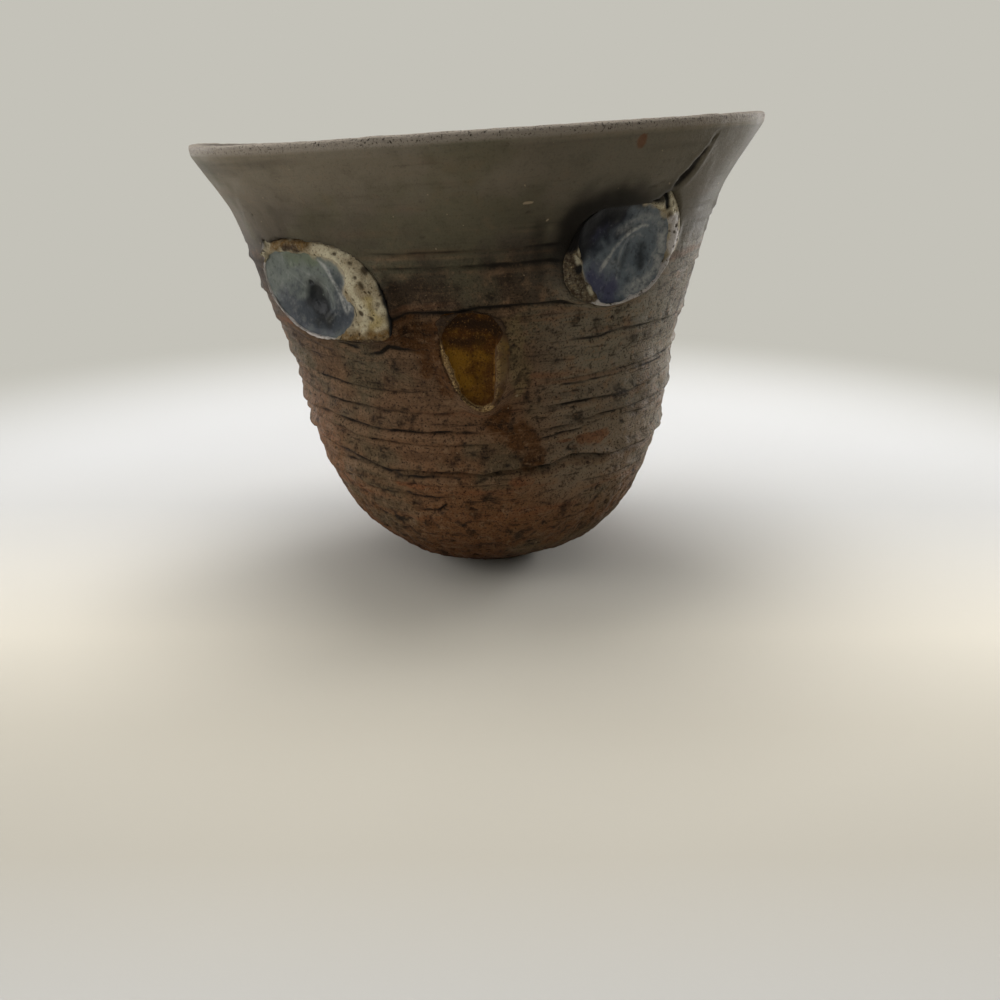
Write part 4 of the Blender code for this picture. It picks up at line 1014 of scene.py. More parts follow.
def section_rows(keys, steps):
    """Rows of points on a smooth curve through key rows, with some steps from each to the next."""
    keys = np.stack(keys)
    padded = np.concatenate((2 * keys[:1] - keys[1:2], keys, 2 * keys[-1:] - keys[-2:-1]))
    rows = []
    for index, count in enumerate(steps):
        a, b, c, d = padded[index:index + 4]
        for step in range(count):
            t = step / count
            rows.append(0.5 * (2 * b + (c - a) * t + (2 * a - 5 * b + 4 * c - d) * t ** 2
                               + (3 * b - a - 3 * c + d) * t ** 3))
    rows.append(keys[-1])
    return np.stack(rows)


def lifted(outline, stand):
    """A loop of points with how far each stands off the wall."""
    return np.column_stack((outline, np.broadcast_to(stand, len(outline))))


def add_piece(name, node, points, faces, masks, material):
    """Make one piece of the vase, which rides on the frame and stands for its CAD node."""
    mesh = bpy.data.meshes.new(name)
    mesh.from_pydata(points.tolist(), [], faces)
    if mesh.validate():
        raise ValueError(f"the mesh of {name} had to be corrected")
    mesh.shade_smooth()
    for mask, values in masks.items():
        layer = mesh.attributes.new(mask, "FLOAT", "POINT")
        layer.data.foreach_set("value", np.ascontiguousarray(values, dtype=np.float32).ravel())
    mesh.materials.append(material)
    piece = bpy.data.objects.new(name, mesh)
    bpy.context.scene.collection.objects.link(piece)
    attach(piece, "root")
    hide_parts(node)
    return piece


# Edges of the clay and of the glass round the middle of each pad, in mm along its own u and v,
# and how far the wall's clay was drawn up round it
LEFT_EDGES = {
    "clay": ((-19.0, 11.4), (-16.4, 10.0), (-15.2, 10.0), (-13.3, 10.8), (-8.2, 11.5), (-3.4, 11.3),
             (2.1, 10.8), (7.2, 9.8), (10.6, 8.1), (13.7, 5.6), (16.2, 3.1), (18.2, 0.2), (19.2, -3.1),
             (19.8, -6.3), (19.5, -9.1), (17.6, -10.3), (13.4, -11.1), (9.4, -11.2), (5.3, -11.2),
             (3.6, -11.2), (-0.3, -11.1), (-4.3, -10.4), (-8.4, -9.0), (-11.8, -6.8), (-14.9, -4.1),
             (-17.2, -1.3), (-18.9, 1.8), (-19.4, 4.5), (-18.0, 6.8), (-18.2, 8.2), (-17.9, 9.0)),
    "glass": ((-17.7, 7.1), (-19.1, 4.5), (-18.6, 1.75), (-17.0, -1.2), (-14.7, -4.0), (-11.8, -6.5),
              (-8.3, -8.7), (-4.2, -10.1), (-0.2, -10.8), (3.7, -10.8), (6.8, -9.6), (9.2, -7.4),
              (10.8, -5.3), (10.5, -3.6), (9.0, -2.2), (8.5, -0.4), (9.0, 2.1), (8.7, 3.9), (6.8, 5.7),
              (4.4, 6.7), (0.6, 7.4), (-3.4, 7.7), (-8.4, 7.8), (-13.4, 7.9)),
    # The third and fourth settings on the next line, here and in the other pads' edges, are the strengths of
    # the painted shade in the crevice round the pad and in the dent beyond it
    "skirt": 3.0, "proud": 0.7, "crevice": 0.28, "pad_shade": 0.3, "round": 0.9,
    "rings": 0.015,
}
RIGHT_EDGES = {
    "clay": ((-16.6, -1.5), (-16.3, 0.6), (-15.0, 2.3), (-14.0, 4.4), (-13.0, 6.9), (-11.0, 8.8),
             (-8.4, 9.8), (-4.7, 10.0), (-0.3, 9.8), (3.1, 10.0), (5.5, 10.6), (7.3, 11.7), (9.0, 12.4),
             (10.8, 12.2), (12.6, 10.8), (14.9, 8.4), (16.2, 6.1), (16.8, 3.4), (16.7, 0.8), (15.8, -1.4),
             (13.9, -2.9), (12.2, -4.9), (9.6, -7.5), (6.6, -9.1), (2.8, -10.3), (-1.4, -11.2),
             (-4.9, -11.4), (-7.7, -10.9), (-9.8, -10.1), (-11.9, -9.3), (-14.5, -7.7), (-16.2, -4.8)),
    "glass": ((-12.5, 0.4), (-13.4, 2.8), (-13.2, 5.4), (-11.6, 7.7), (-8.7, 9.2), (-5.0, 9.7),
              (-1.3, 9.5), (2.3, 9.5), (5.0, 9.2), (8.1, 8.4), (10.6, 6.9), (12.0, 4.4), (12.4, 1.7),
              (12.3, -0.9), (11.3, -4.1), (9.2, -6.8), (6.5, -8.4), (2.7, -9.6), (-1.5, -10.6),
              (-5.0, -10.8), (-7.4, -10.0), (-9.1, -8.4), (-10.2, -6.7), (-11.5, -5.0), (-12.4, -2.3)),
    "skirt": 3.0, "proud": 0.7, "crevice": 0.28, "pad_shade": 1.0, "round": 0.9,
    "rings": 0.02,
}
BEAK_EDGES = {
    "clay": (),
    "glass": ((-8.2, 9.4), (-6.6, 10.9), (-3.8, 11.5), (-0.6, 11.5), (2.8, 10.9), (5.6, 9.5), (6.5, 7.3),
              (5.3, 5.3), (4.6, 3.4), (4.3, 1.0), (4.1, -2.6), (3.8, -5.7), (3.4, -8.7), (2.6, -10.3),
              (0.8, -11.2), (-1.1, -10.7), (-3.0, -9.2), (-4.3, -7.2), (-5.1, -4.6), (-5.7, -1.6),
              (-6.3, 1.5), (-7.0, 3.8), (-7.5, 6.0), (-7.7, 7.8)),
    "skirt": 4.0, "proud": 0.1, "crevice": 0.0, "pad_shade": 0.5, "round": 0.35,
    "rings": 0.0,
}

# Marks on the pads and pools: what they are, half width in mm, strength (or lift in mm), and a
# line of points in mm along the pad's own u and v
LEFT_CLAY_MARKS = (
    ("white", 0.7, 0.8, ((-18.7, 10.6), (-18.4, 8.9))),
    # Painted highlight along the pad's lower rim
    ("white", 0.95, 1.0, ((-18.8, 4.6), (-18.8, 1.8), (-17.2, -1.2), (-11.8, -6.6), (-4.3, -10.3),
                          (3.6, -11.1))),
    ("pale", 1.2, 1.0, ((-18.7, 10.8), (-18.4, 8.7), (-18.3, 7.0))),
    ("pale", 1.8, 0.7, ((1.0, 8.6), (6.0, 7.2), (10.4, 3.0), (11.6, -1.8), (14.0, -4.2), (12.6, -7.4))),
    ("lift", 0.8, 0.9, ((-18.6, 11.0), (-18.2, 8.7), (-18.0, 7.2))),
    ("lift", 1.2, -0.7, ((-16.6, 9.6), (-15.6, 10.2))),
    ("ochre", 1.4, 1.0, ((-14.6, 9.4), (-11.0, 9.6), (-6.1, 9.5), (-1.4, 10.2))),
    ("ochre", 0.9, 0.8, ((-1.5, 10.6), (2.6, 10.4), (6.7, 9.6))),
    ("rust", 1.0, 0.9, ((-9.8, 8.5), (-7.0, 9.0), (-4.6, 8.7))),
    ("rust", 1.1, 0.8, ((-13.6, 10.9), (-8.2, 11.7), (-1.4, 11.4), (4.2, 10.6), (9.4, 9.0))),
    ("lift", 1.0, 0.5, ((-13.4, 9.3), (-8.2, 9.8), (-2.0, 9.6))),
    ("ochre", 2.2, 1.0, ((7.1, -10.5), (10.4, -9.9), (14.3, -9.6), (18.2, -9.2))),
    ("rust", 0.8, 0.7, ((8.6, -10.9), (12.4, -10.9), (16.6, -10.5))),
    ("yellow", 1.6, 0.8, ((13.0, -7.2), (15.0, -7.0), (16.8, -6.4), (14.4, -2.2))),
    # Painted shade along the pad's sunk right side
    ("pad_shade", 0.8, 0.8, ((11.6, 8.0), (14.6, 5.6), (17.4, 2.6), (19.0, -1.0), (20.0, -6.0), (20.0, -9.4))),
    ("speck", 0.55, 1.0, ((5.2, 5.9), (5.5, 5.9))),
    ("speck", 0.5, 1.0, ((6.2, 7.9), (6.5, 7.8))),
    ("speck", 0.85, 0.9, ((13.8, 4.6), (14.4, 4.2))),
    ("speck", 0.75, 1.0, ((13.3, 1.6), (13.7, 1.1))),
    ("speck", 0.6, 1.0, ((12.1, -4.5), (12.6, -4.7))),
    ("speck", 0.6, 0.9, ((14.8, -5.3), (15.3, -5.5))),
    ("speck", 0.6, 0.9, ((10.4, 6.1), (10.8, 6.0))),
    ("speck", 0.45, 0.9, ((9.4, -7.3), (9.7, -7.4))),
    ("speck", 0.35, 0.8, ((8.9, -0.2), (9.1, -0.3))),
    ("speck", 0.4, 0.7, ((10.6, -1.6), (10.8, -1.8))),
    ("speck", 0.4, 0.7, ((11.9, 3.1), (12.1, 3.0))),
    ("speck", 0.45, 0.7, ((16.6, -3.2), (16.8, -3.6))),
)
RIGHT_CLAY_MARKS = (
    # Painted shade where the pad sinks under the dent
    ("pad_shade", 1.9, 1.0, ((-14.6, 3.4), (-13.2, 6.6), (-9.6, 9.3), (-3.0, 9.9), (3.0, 9.8), (6.6, 10.9))),
    ("rust", 3.4, 1.0, ((-15.6, 0.6), (-15.4, -3.4), (-13.4, -6.6), (-10.6, -9.4), (-7.6, -10.8))),
    ("pale", 0.6, 0.9, ((-14.0, 0.8), (-13.4, -0.7), (-13.0, -1.6))),
    ("pale", 0.5, 0.8, ((-10.8, -6.4), (-10.3, -7.6))),
    # Painted highlight along the pad's lower rim
    ("white", 1.1, 1.0, ((-8.4, -10.5), (-5.0, -11.1), (-1.4, -10.9), (2.8, -10.0), (6.6, -8.8), (9.6, -7.2),
                         (12.2, -4.6), (13.4, -2.8))),
    ("pale", 1.6, 1.0, ((6.8, 9.6), (8.6, 9.2))),
    ("pale", 1.7, 1.0, ((10.6, 10.4), (12.2, 8.8), (14.2, 7.6))),
    ("white", 1.7, 0.8, ((13.6, 5.0), (14.4, 2.0), (13.9, -0.9))),
    ("pad_shade", 0.7, 0.8, ((8.8, 11.4), (9.6, 9.4), (10.6, 8.2))),
    ("rust", 1.1, 0.8, ((11.8, 6.9), (13.4, 6.2), (15.4, 5.8))),
    ("lift", 1.1, 0.7, ((-14.0, 0.8), (-13.4, -0.9))),
    ("lift", 0.9, 0.5, ((-10.4, -6.8), (-9.4, -8.4))),
    ("lift", 1.3, 0.6, ((10.6, 10.2), (12.0, 8.8))),
    ("lift", 1.1, 0.5, ((6.8, 9.6), (8.4, 9.2))),
    ("lift", 0.6, -0.6, ((8.8, 11.4), (9.6, 9.4), (10.6, 8.2))),
    ("pad_shade", 0.9, 1.0, ((-13.6, -2.4), (-13.2, -2.0))),
    ("speck", 0.5, 0.9, ((14.0, -0.3), (14.4, -0.3))),
    ("speck", 0.45, 0.9, ((15.5, 0.9), (15.7, 0.9))),
    ("speck", 0.45, 0.8, ((16.2, 2.6), (16.4, 2.6))),
    ("speck", 0.4, 0.8, ((13.6, 2.9), (13.8, 2.9))),
    ("speck", 0.45, 0.9, ((14.8, 4.0), (15.1, 4.2))),
)
BEAK_CLAY_MARKS = (
    ("rust", 3.0, 1.0, ((-7.6, 10.6), (-2.0, 12.0), (3.0, 11.0), (7.4, 8.6))),
    ("gold", 0.55, 1.0, ((-7.6, 4.4), (-6.6, 1.6), (-6.0, -1.6), (-5.3, -4.9), (-4.4, -7.6), (-3.1, -9.8),
                         (-1.2, -11.2), (0.8, -11.7), (2.8, -10.7))),
    ("gold", 0.5, 0.4, ((4.9, 3.6), (4.6, 0.0), (4.3, -5.4), (3.7, -8.6))),
    ("yellow", 1.4, 0.3, ((5.6, 5.0), (5.8, 1.0), (5.4, -3.4))),
    ("ochre", 1.4, 0.5, ((-7.7, 5.0), (-7.2, 1.0))),
    ("lift", 0.5, 0.25, ((-5.6, -4.7), (-4.6, -7.5), (-3.2, -9.7), (-1.2, -11.2), (0.8, -11.7),
                         (2.8, -10.7))),
)
LEFT_GLASS_MARKS = (
    ("tone", 4.6, 1.0, ((-11.0, -4.4), (-6.0, -6.2), (0.0, -7.2), (6.0, -6.8), (8.6, -5.4))),
    ("tone", 2.6, 0.7, ((5.6, -1.6), (6.4, 1.4))),
    ("tint", 2.4, 0.7, ((-9.4, 6.6), (-5.0, 6.4), (-1.2, 6.4))),
    ("deep", 3.4, 1.0, ((-1.9, -2.4), (-0.7, -4.2), (0.1, -5.6))),
    ("deep", 0.6, 1.0, ((-2.9, 1.0), (-2.6, 0.9))),
    ("lift", 0.5, -0.35, ((-2.9, 1.0), (-2.6, 0.9))),
    ("milk_and_sheen", 0.9, 0.2, ((-8.6, 5.1), (-4.2, 2.9), (-0.3, 0.7), (2.7, -2.0), (3.6, -4.8), (1.6, -6.8))),
    ("milk_and_sheen", 0.4, 0.3, ((-6.8, 3.9), (-1.4, 2.2), (1.9, -0.4), (3.9, -3.2), (4.2, -5.6), (2.0, -7.6))),
    ("milk_and_sheen", 0.5, 0.75, ((0.7, 6.2), (2.9, 4.0), (4.6, 1.9), (5.9, -0.1), (6.5, -1.2))),
    ("milk_and_sheen", 0.7, 0.8, ((6.6, -1.0), (7.2, -2.9), (7.7, -4.6), (8.8, -4.0), (9.8, -3.7))),
    ("milk_and_sheen", 1.5, 0.6, ((8.8, 3.6), (8.7, 0.6), (8.9, -2.2))),
    ("milk_and_sheen", 2.6, 0.25, ((-16.4, 2.4), (-13.4, -1.4), (-9.9, -4.1))),
    ("milk_and_sheen", 0.3, 0.3, ((-10.5, 3.3), (-6.8, 1.5), (-4.6, 0.0))),
    ("lift", 0.7, 0.16, ((0.7, 6.2), (2.9, 4.0), (4.6, 1.9), (5.9, -0.1), (6.6, -1.6), (7.6, -4.6))),
    ("lift", 0.8, 0.12, ((-8.6, 5.1), (-4.2, 2.9), (-0.3, 0.7), (2.7, -2.0), (3.6, -4.8), (1.6, -6.8))),
    ("film", 1.2, 1.0, ((-0.6, 7.8), (3.6, 7.3), (6.9, 5.8), (8.8, 3.6), (9.2, 1.0), (8.6, -0.6))),
    ("film", 0.5, 0.8, ((11.0, -3.4), (11.0, -5.4), (9.4, -7.5), (6.8, -9.8))),
)
RIGHT_GLASS_MARKS = (
    ("tone", 4.6, 1.0, ((-10.8, 4.2), (-7.6, 5.4), (-3.2, 6.6))),
    ("tone", 2.2, 0.6, ((-10.8, 0.6), (-7.6, 1.4))),
    ("deep", 3.6, 1.0, ((-13.2, 2.6), (-12.2, 5.8), (-9.0, 8.2), (-4.0, 9.4))),
    ("deep", 1.8, 0.8, ((-4.0, 9.4), (3.4, 9.6))),
    ("film", 0.8, 0.9, ((-12.6, -1.6), (-11.9, -4.4), (-10.6, -6.8))),
    ("film", 1.0, 0.8, ((4.2, 9.4), (8.4, 8.6), (10.8, 6.8))),
    ("tint", 1.6, 0.5, ((-10.2, 3.4), (-6.6, 6.0))),
    ("deep", 1.7, 0.55, ((5.1, 0.1), (4.4, -3.9))),
    ("deep", 1.2, 0.4, ((-1.0, -3.6), (1.0, -0.4))),
    ("tint", 2.8, 1.0, ((-9.4, -4.4), (-7.0, -6.6), (-4.6, -8.2))),
    ("milk_and_sheen", 1.4, 0.45, ((-2.0, 4.4), (3.0, 6.2), (7.6, 6.2), (10.6, 4.1))),
    ("milk_and_sheen", 0.5, 0.85, ((-7.0, -3.4), (-5.2, -1.4), (-3.3, 0.6), (-1.0, 2.2), (1.4, 3.7), (4.4, 4.7),
                         (6.4, 4.4))),
    ("milk_and_sheen", 0.4, 0.4, ((-2.6, -5.8), (-2.2, -2.8), (-1.3, -0.3), (0.6, 2.0), (3.6, 2.8), (6.1, 1.9))),
    ("milk_and_sheen", 0.4, 0.45, ((9.6, 4.0), (10.4, 2.0), (10.2, 0.0), (7.9, -2.6), (6.4, -4.8))),
    # Painted reflection along the lower right rim
    ("milk_and_sheen", 1.7, 0.85, ((11.4, 2.6), (11.6, 0.0), (11.2, -1.6), (9.4, -4.9), (5.3, -7.5), (1.1, -8.9))),
    ("milk_and_sheen", 1.2, 0.3, ((-6.2, -2.0), (-2.0, -3.4))),
    ("lift", 0.7, 0.16, ((-7.0, -3.4), (-3.3, 0.6), (-1.0, 2.2), (1.4, 3.7), (4.4, 4.7))),
    ("lift", 0.6, 0.12, ((-2.6, -5.8), (-2.2, -2.8), (-1.3, -0.3), (0.6, 2.0), (3.6, 2.8), (6.1, 1.9))),
)
# In the beak the deep marks along the top are painted shade under the ledge, and the tone marks are painted
# light where the pool faces up
BEAK_GLASS_MARKS = (
    ("deep", 2.3, 0.72, ((-7.0, 9.0), (-3.9, 9.4), (0.1, 8.8), (2.8, 8.4), (5.6, 7.4))),
    ("deep", 1.6, 0.55, ((-5.8, 4.9), (-2.3, 4.6), (1.5, 5.0))),
    ("deep", 1.6, 0.3, ((0.1, -4.1), (1.6, -4.9))),
    ("deep", 1.6, 0.15, ((-1.6, -8.0), (1.4, -9.2))),
    ("film", 0.45, 0.7, ((-5.6, -1.6), (-5.0, -4.6), (-4.2, -7.2), (-2.9, -9.2), (-1.0, -10.6),
                         (0.8, -11.1), (2.5, -10.2))),
    ("tone", 2.4, 1.0, ((-5.2, 1.6), (-3.6, 0.7), (-4.2, -2.6), (-2.6, -5.4))),
    ("tone", 1.8, 0.5, ((0.6, -1.6), (0.2, -7.4))),
    ("tone", 1.3, 0.7, ((-0.4, 1.3), (2.6, 1.1))),
    ("milk_and_sheen", 0.3, 0.6, ((4.0, 2.6), (3.9, -0.6), (3.4, -6.4))),
    ("lift", 0.6, 0.15, ((4.0, 2.6), (3.9, -0.6), (3.4, -6.4))),
)


def draw_marks(u, v, marks, ragged):
    """Masks drawn by the lines of marks, and the relief of those that lift the surface."""
    drawn = {"lift": np.zeros(np.shape(u))}
    for kind, width, strength, line in marks:
        distance, _ = from_line(u, v, in_mm(line))
        share = strength * bell(np.maximum(distance + 0.5 * width * MM * ragged, 0.0), width * MM)
        if kind == "lift":
            drawn[kind] = drawn[kind] + share * MM
        else:
            drawn[kind] = np.maximum(drawn.get(kind, 0.0), share)
    return drawn


def out_of(rows):
    """Directions square to a skin of rows, on its outer side."""
    along = np.roll(rows, -1, axis=1) - np.roll(rows, 1, axis=1)
    square = np.cross(along, np.gradient(rows, axis=0))
    return square / np.maximum(np.linalg.norm(square, axis=-1, keepdims=True), 1e-12)


def clay_rows(pad):
    """Rows of u, v and stand over a pad of clay, from its back to the middle of its hollow."""
    sizes = pad.sizes
    mouth, middle = pad.pool_outline(), pad.rolled(*pad.pool_middle)
    edge_round = np.minimum(pad.edges["round"] * MM, 0.5 * np.hypot(*(pad.outline - mouth).T))
    face_edge = grown(pad.outline, -edge_round)
    shoulder = between(pad.outline, face_edge, 0.6)
    crown = between(face_edge, mouth, 0.5)
    foot = grown(mouth, -HOLLOW_DRAFT * sizes.pool_edge_depth)
    keys = [lifted(share * face_edge, pad.back(*(share * face_edge).T)) for share in (0.1, 0.6, 1.0)]
    keys += [
        lifted(pad.outline, pad.back(*pad.outline.T) + edge_round),
        lifted(pad.outline, pad.face(*pad.outline.T) - edge_round),
        lifted(shoulder, pad.face(*shoulder.T) - 0.2 * edge_round),
        lifted(crown, pad.face(*crown.T) + 0.55 * edge_round),
        lifted(mouth, pad.face(*mouth.T)),
        lifted(foot, pad.face(*foot.T) - sizes.pool_edge_depth),
    ]
    for share in (0.5, 0.06):
        ring = between(middle, foot, share)
        depth = between(sizes.pool_depth, sizes.pool_edge_depth, share)
        keys.append(lifted(ring, pad.face(*ring.T) - depth))
    return section_rows(keys, CLAY_STEPS)


def glass_rows(pad):
    """Rows of u, v and stand over a pool of glass, from its bed to the middle of its pupil."""
    sizes = pad.sizes
    mouth, middle = pad.pool_outline(), pad.rolled(*pad.pool_middle)
    edge = grown(mouth, GLASS_CREEP)
    foot = grown(mouth, -HOLLOW_DRAFT * sizes.pool_edge_depth - SEAT_GAP)
    sunk = GLASS_BELOW_RIM + sizes.meniscus
    pupil = pad.pupil_outline(1.0)
    keys = []
    for share in (0.06, 0.5):
        ring = between(middle, foot, share)
        depth = between(sizes.pool_depth, sizes.pool_edge_depth, share) - SEAT_GAP
        keys.append(lifted(ring, pad.face(*ring.T) - depth))
    slope = between(edge, pupil, 0.35)
    keys += [
        lifted(foot, pad.face(*foot.T) + SEAT_GAP - sizes.pool_edge_depth),
        lifted(edge, pad.face(*edge.T) - 0.5 * GLASS_BELOW_RIM),
        lifted(slope, pad.face(*slope.T) - 0.8 * sunk),
        lifted(pupil, pad.face(*pupil.T) - sunk),
    ]
    for share, depth in ((0.45, 0.85), (0.05, 1.0)):
        ring = pad.pupil_outline(share)
        keys.append(lifted(ring, pad.face(*ring.T) - sunk - depth * sizes.pupil_depth))
    return section_rows(keys, GLASS_STEPS)


def press_pad(pad, marks, crumbly, seed):
    """Skin of a pad of clay: crumbly, with lumps, torn pits and the marks that fingers left."""
    rows = clay_rows(pad)
    u, v = rows[..., 0], rows[..., 1]
    ragged = clay_noise(rows, 1.6, seed)
    masks = draw_marks(u, v, marks, ragged)
    along = np.linspace(0.0, 1.0, len(rows))
    shown = (smooth_ramp(0.2, 0.45, along) * smooth_ramp(1.0, 0.86, along))[:, None]
    lumps = 0.34 * clay_noise(rows, 4.2, seed + 1) + 0.20 * clay_noise(rows, 1.9, seed + 2)
    grains = 0.10 * clay_noise(rows, 0.9, seed + 3) + 0.05 * clay_noise(rows, 0.5, seed + 4)
    torn = np.minimum(clay_noise(rows, 1.2, seed + 5) + 0.55, 0.0)
    crust = masks.get("ochre", 0.0) * (0.25 + 0.35 * clay_noise(rows, 0.8, seed + 6))
    relief = crumbly * MM * (lumps + grains + 0.9 * torn) + crust * MM + masks.pop("lift")
    relief = relief - 0.22 * MM * masks.get("speck", 0.0)
    masks["pit"] = smooth_ramp(0.0, -0.25, torn)
    rows = rows + out_of(rows) * (relief * shown)[..., None]
    return rows, masks


def pour_glass(pad, marks, seed):
    """Skin of a pool of glass: drawn to its rim, with swirls and rings round the pressed pupil."""
    rows = glass_rows(pad)
    u, v = rows[..., 0], rows[..., 1]
    masks = draw_marks(u, v, marks, clay_noise(rows, 1.8, seed))
    pupil_u, pupil_v = pad.rolled(*pad.pupil_middle)
    out = np.hypot(u - pupil_u, v - pupil_v)
    top = smooth_ramp(0.12, 0.24, np.linspace(0.0, 1.0, len(rows)))[:, None]
    ripples = pad.edges["rings"] * MM * np.sin(out * FULL_TURN / RING_SPACING)
    ripples = ripples * smooth_ramp(7.5 * MM, 5.0 * MM, out) * smooth_ramp(1.2 * MM, 2.2 * MM, out)
    waves = 0.16 * MM * clay_noise(rows, 3.6, seed + 1) + 0.05 * MM * clay_noise(rows, 1.7, seed + 2)
    relief = ripples + waves + masks.pop("lift")
    rim = bell(np.arange(len(rows)) - GLASS_EDGE_ROW, 1.8)[:, None]
    # Painted highlight along the glass's edge
    masks["edge"] = rim * (1.0 - np.minimum(1.6 * masks.get("deep", 0.0) + masks.get("film", 0.0), 1.0))
    rows = rows + out_of(rows) * (relief * top)[..., None]
    return rows, masks


def add_pad_piece(pad, name, node, skin, masks, material):
    """Bring a skin of u, v and stand onto the wall, and close it."""
    points, faces = closed_faces(pad.place(*np.moveaxis(skin, -1, 0)))
    masks = {mask: np.concatenate((np.ravel(values), (0.0, 0.0))) for mask, values in masks.items()}
    return add_piece(name, node, points, faces, masks, material)


def vase_parts(scene):
    """The wall and its three pads, as the scene's settings have them."""
    wall = ThrownWall(scene.vase_wall)
    settings = (scene.vase_left_eye, scene.vase_right_eye, scene.vase_beak)
    return wall, [Pad(wall, *both) for both in zip(settings, (LEFT_EDGES, RIGHT_EDGES, BEAK_EDGES))]


# The sockets of a Mix node that mixes colours
FACTOR, FIRST, SECOND, MIXED = 0, 6, 7, 2


def add_node(tree, kind, inputs=None, **settings):
    """Add a shader node with its settings, and set its inputs or link them."""
    node = tree.nodes.new("ShaderNode" + kind)
    for name, value in settings.items():
        setattr(node, name, value)
    for name, value in (inputs or {}).items():
        if isinstance(value, NodeSocket):
            tree.links.new(value, node.inputs[name])
        else:
            node.inputs[name].default_value = value
    return node


def start_material(name):
    """An empty node material, and a way to add nodes to it."""
    material = bpy.data.materials.new(name)
    material.use_nodes = True
    material.node_tree.nodes.clear()
    return material, partial(add_node, material.node_tree)


def opaque(colour):
    """A colour with full alpha, as colour sockets take it."""
    return (*colour, 1.0)


def masks_and_grains(add, place, masks, grains):
    """The masks that were written on the mesh, and noises by the size of their grain in mm."""
    sources = {name: add("Attribute", attribute_name=name).outputs["Fac"] for name in masks}
    for name, (size, detail, roughness) in grains.items():
        inputs = {"Vector": place, "Scale": 1.0 / (size * MM), "Detail": detail, "Roughness": roughness}
        sources[name] = add("TexNoise", inputs).outputs["Fac"]
    return sources


def layers(add, base, stack):
    """Lay colours over a base, each where its source climbs from low to high, up to its share."""
    for source, low, high, share, colour in stack:
        inputs = {"Value": source, "From Min": low, "From Max": high, "To Max": share}
        mask = add("MapRange", inputs, interpolation_type="SMOOTHSTEP").outputs["Result"]
        inputs = {FACTOR: mask, FIRST: base, SECOND: opaque(colour)}
        base = add("Mix", inputs, data_type="RGBA").outputs[MIXED]
    return base


def set_stops(ramp, stops):
    """Give a colour ramp its stops, from places and colours."""
    elements = ramp.color_ramp.elements
    for index, (position, colour) in enumerate(stops):
        stop = elements[index] if index < 2 else elements.new(position)
        stop.position, stop.color = position, opaque(colour)
    return ramp.outputs["Color"]


def finish_material(add, colour, roughness, bumps, **inputs):
    """Join colour, roughness and bumps, which are heights, real depths and strengths, to a surface."""
    normal = None
    for height, depth, strength in bumps:
        bump = {"Height": height, "Distance": depth * MM, "Strength": strength}
        if normal is not None:
            bump["Normal"] = normal
        normal = add("Bump", bump).outputs["Normal"]
    surface = {"Base Color": colour, "Roughness": roughness, "Normal": normal, **inputs}
    shader = add("BsdfPrincipled", surface).outputs["BSDF"]
    add("OutputMaterial", {"Surface": shader})


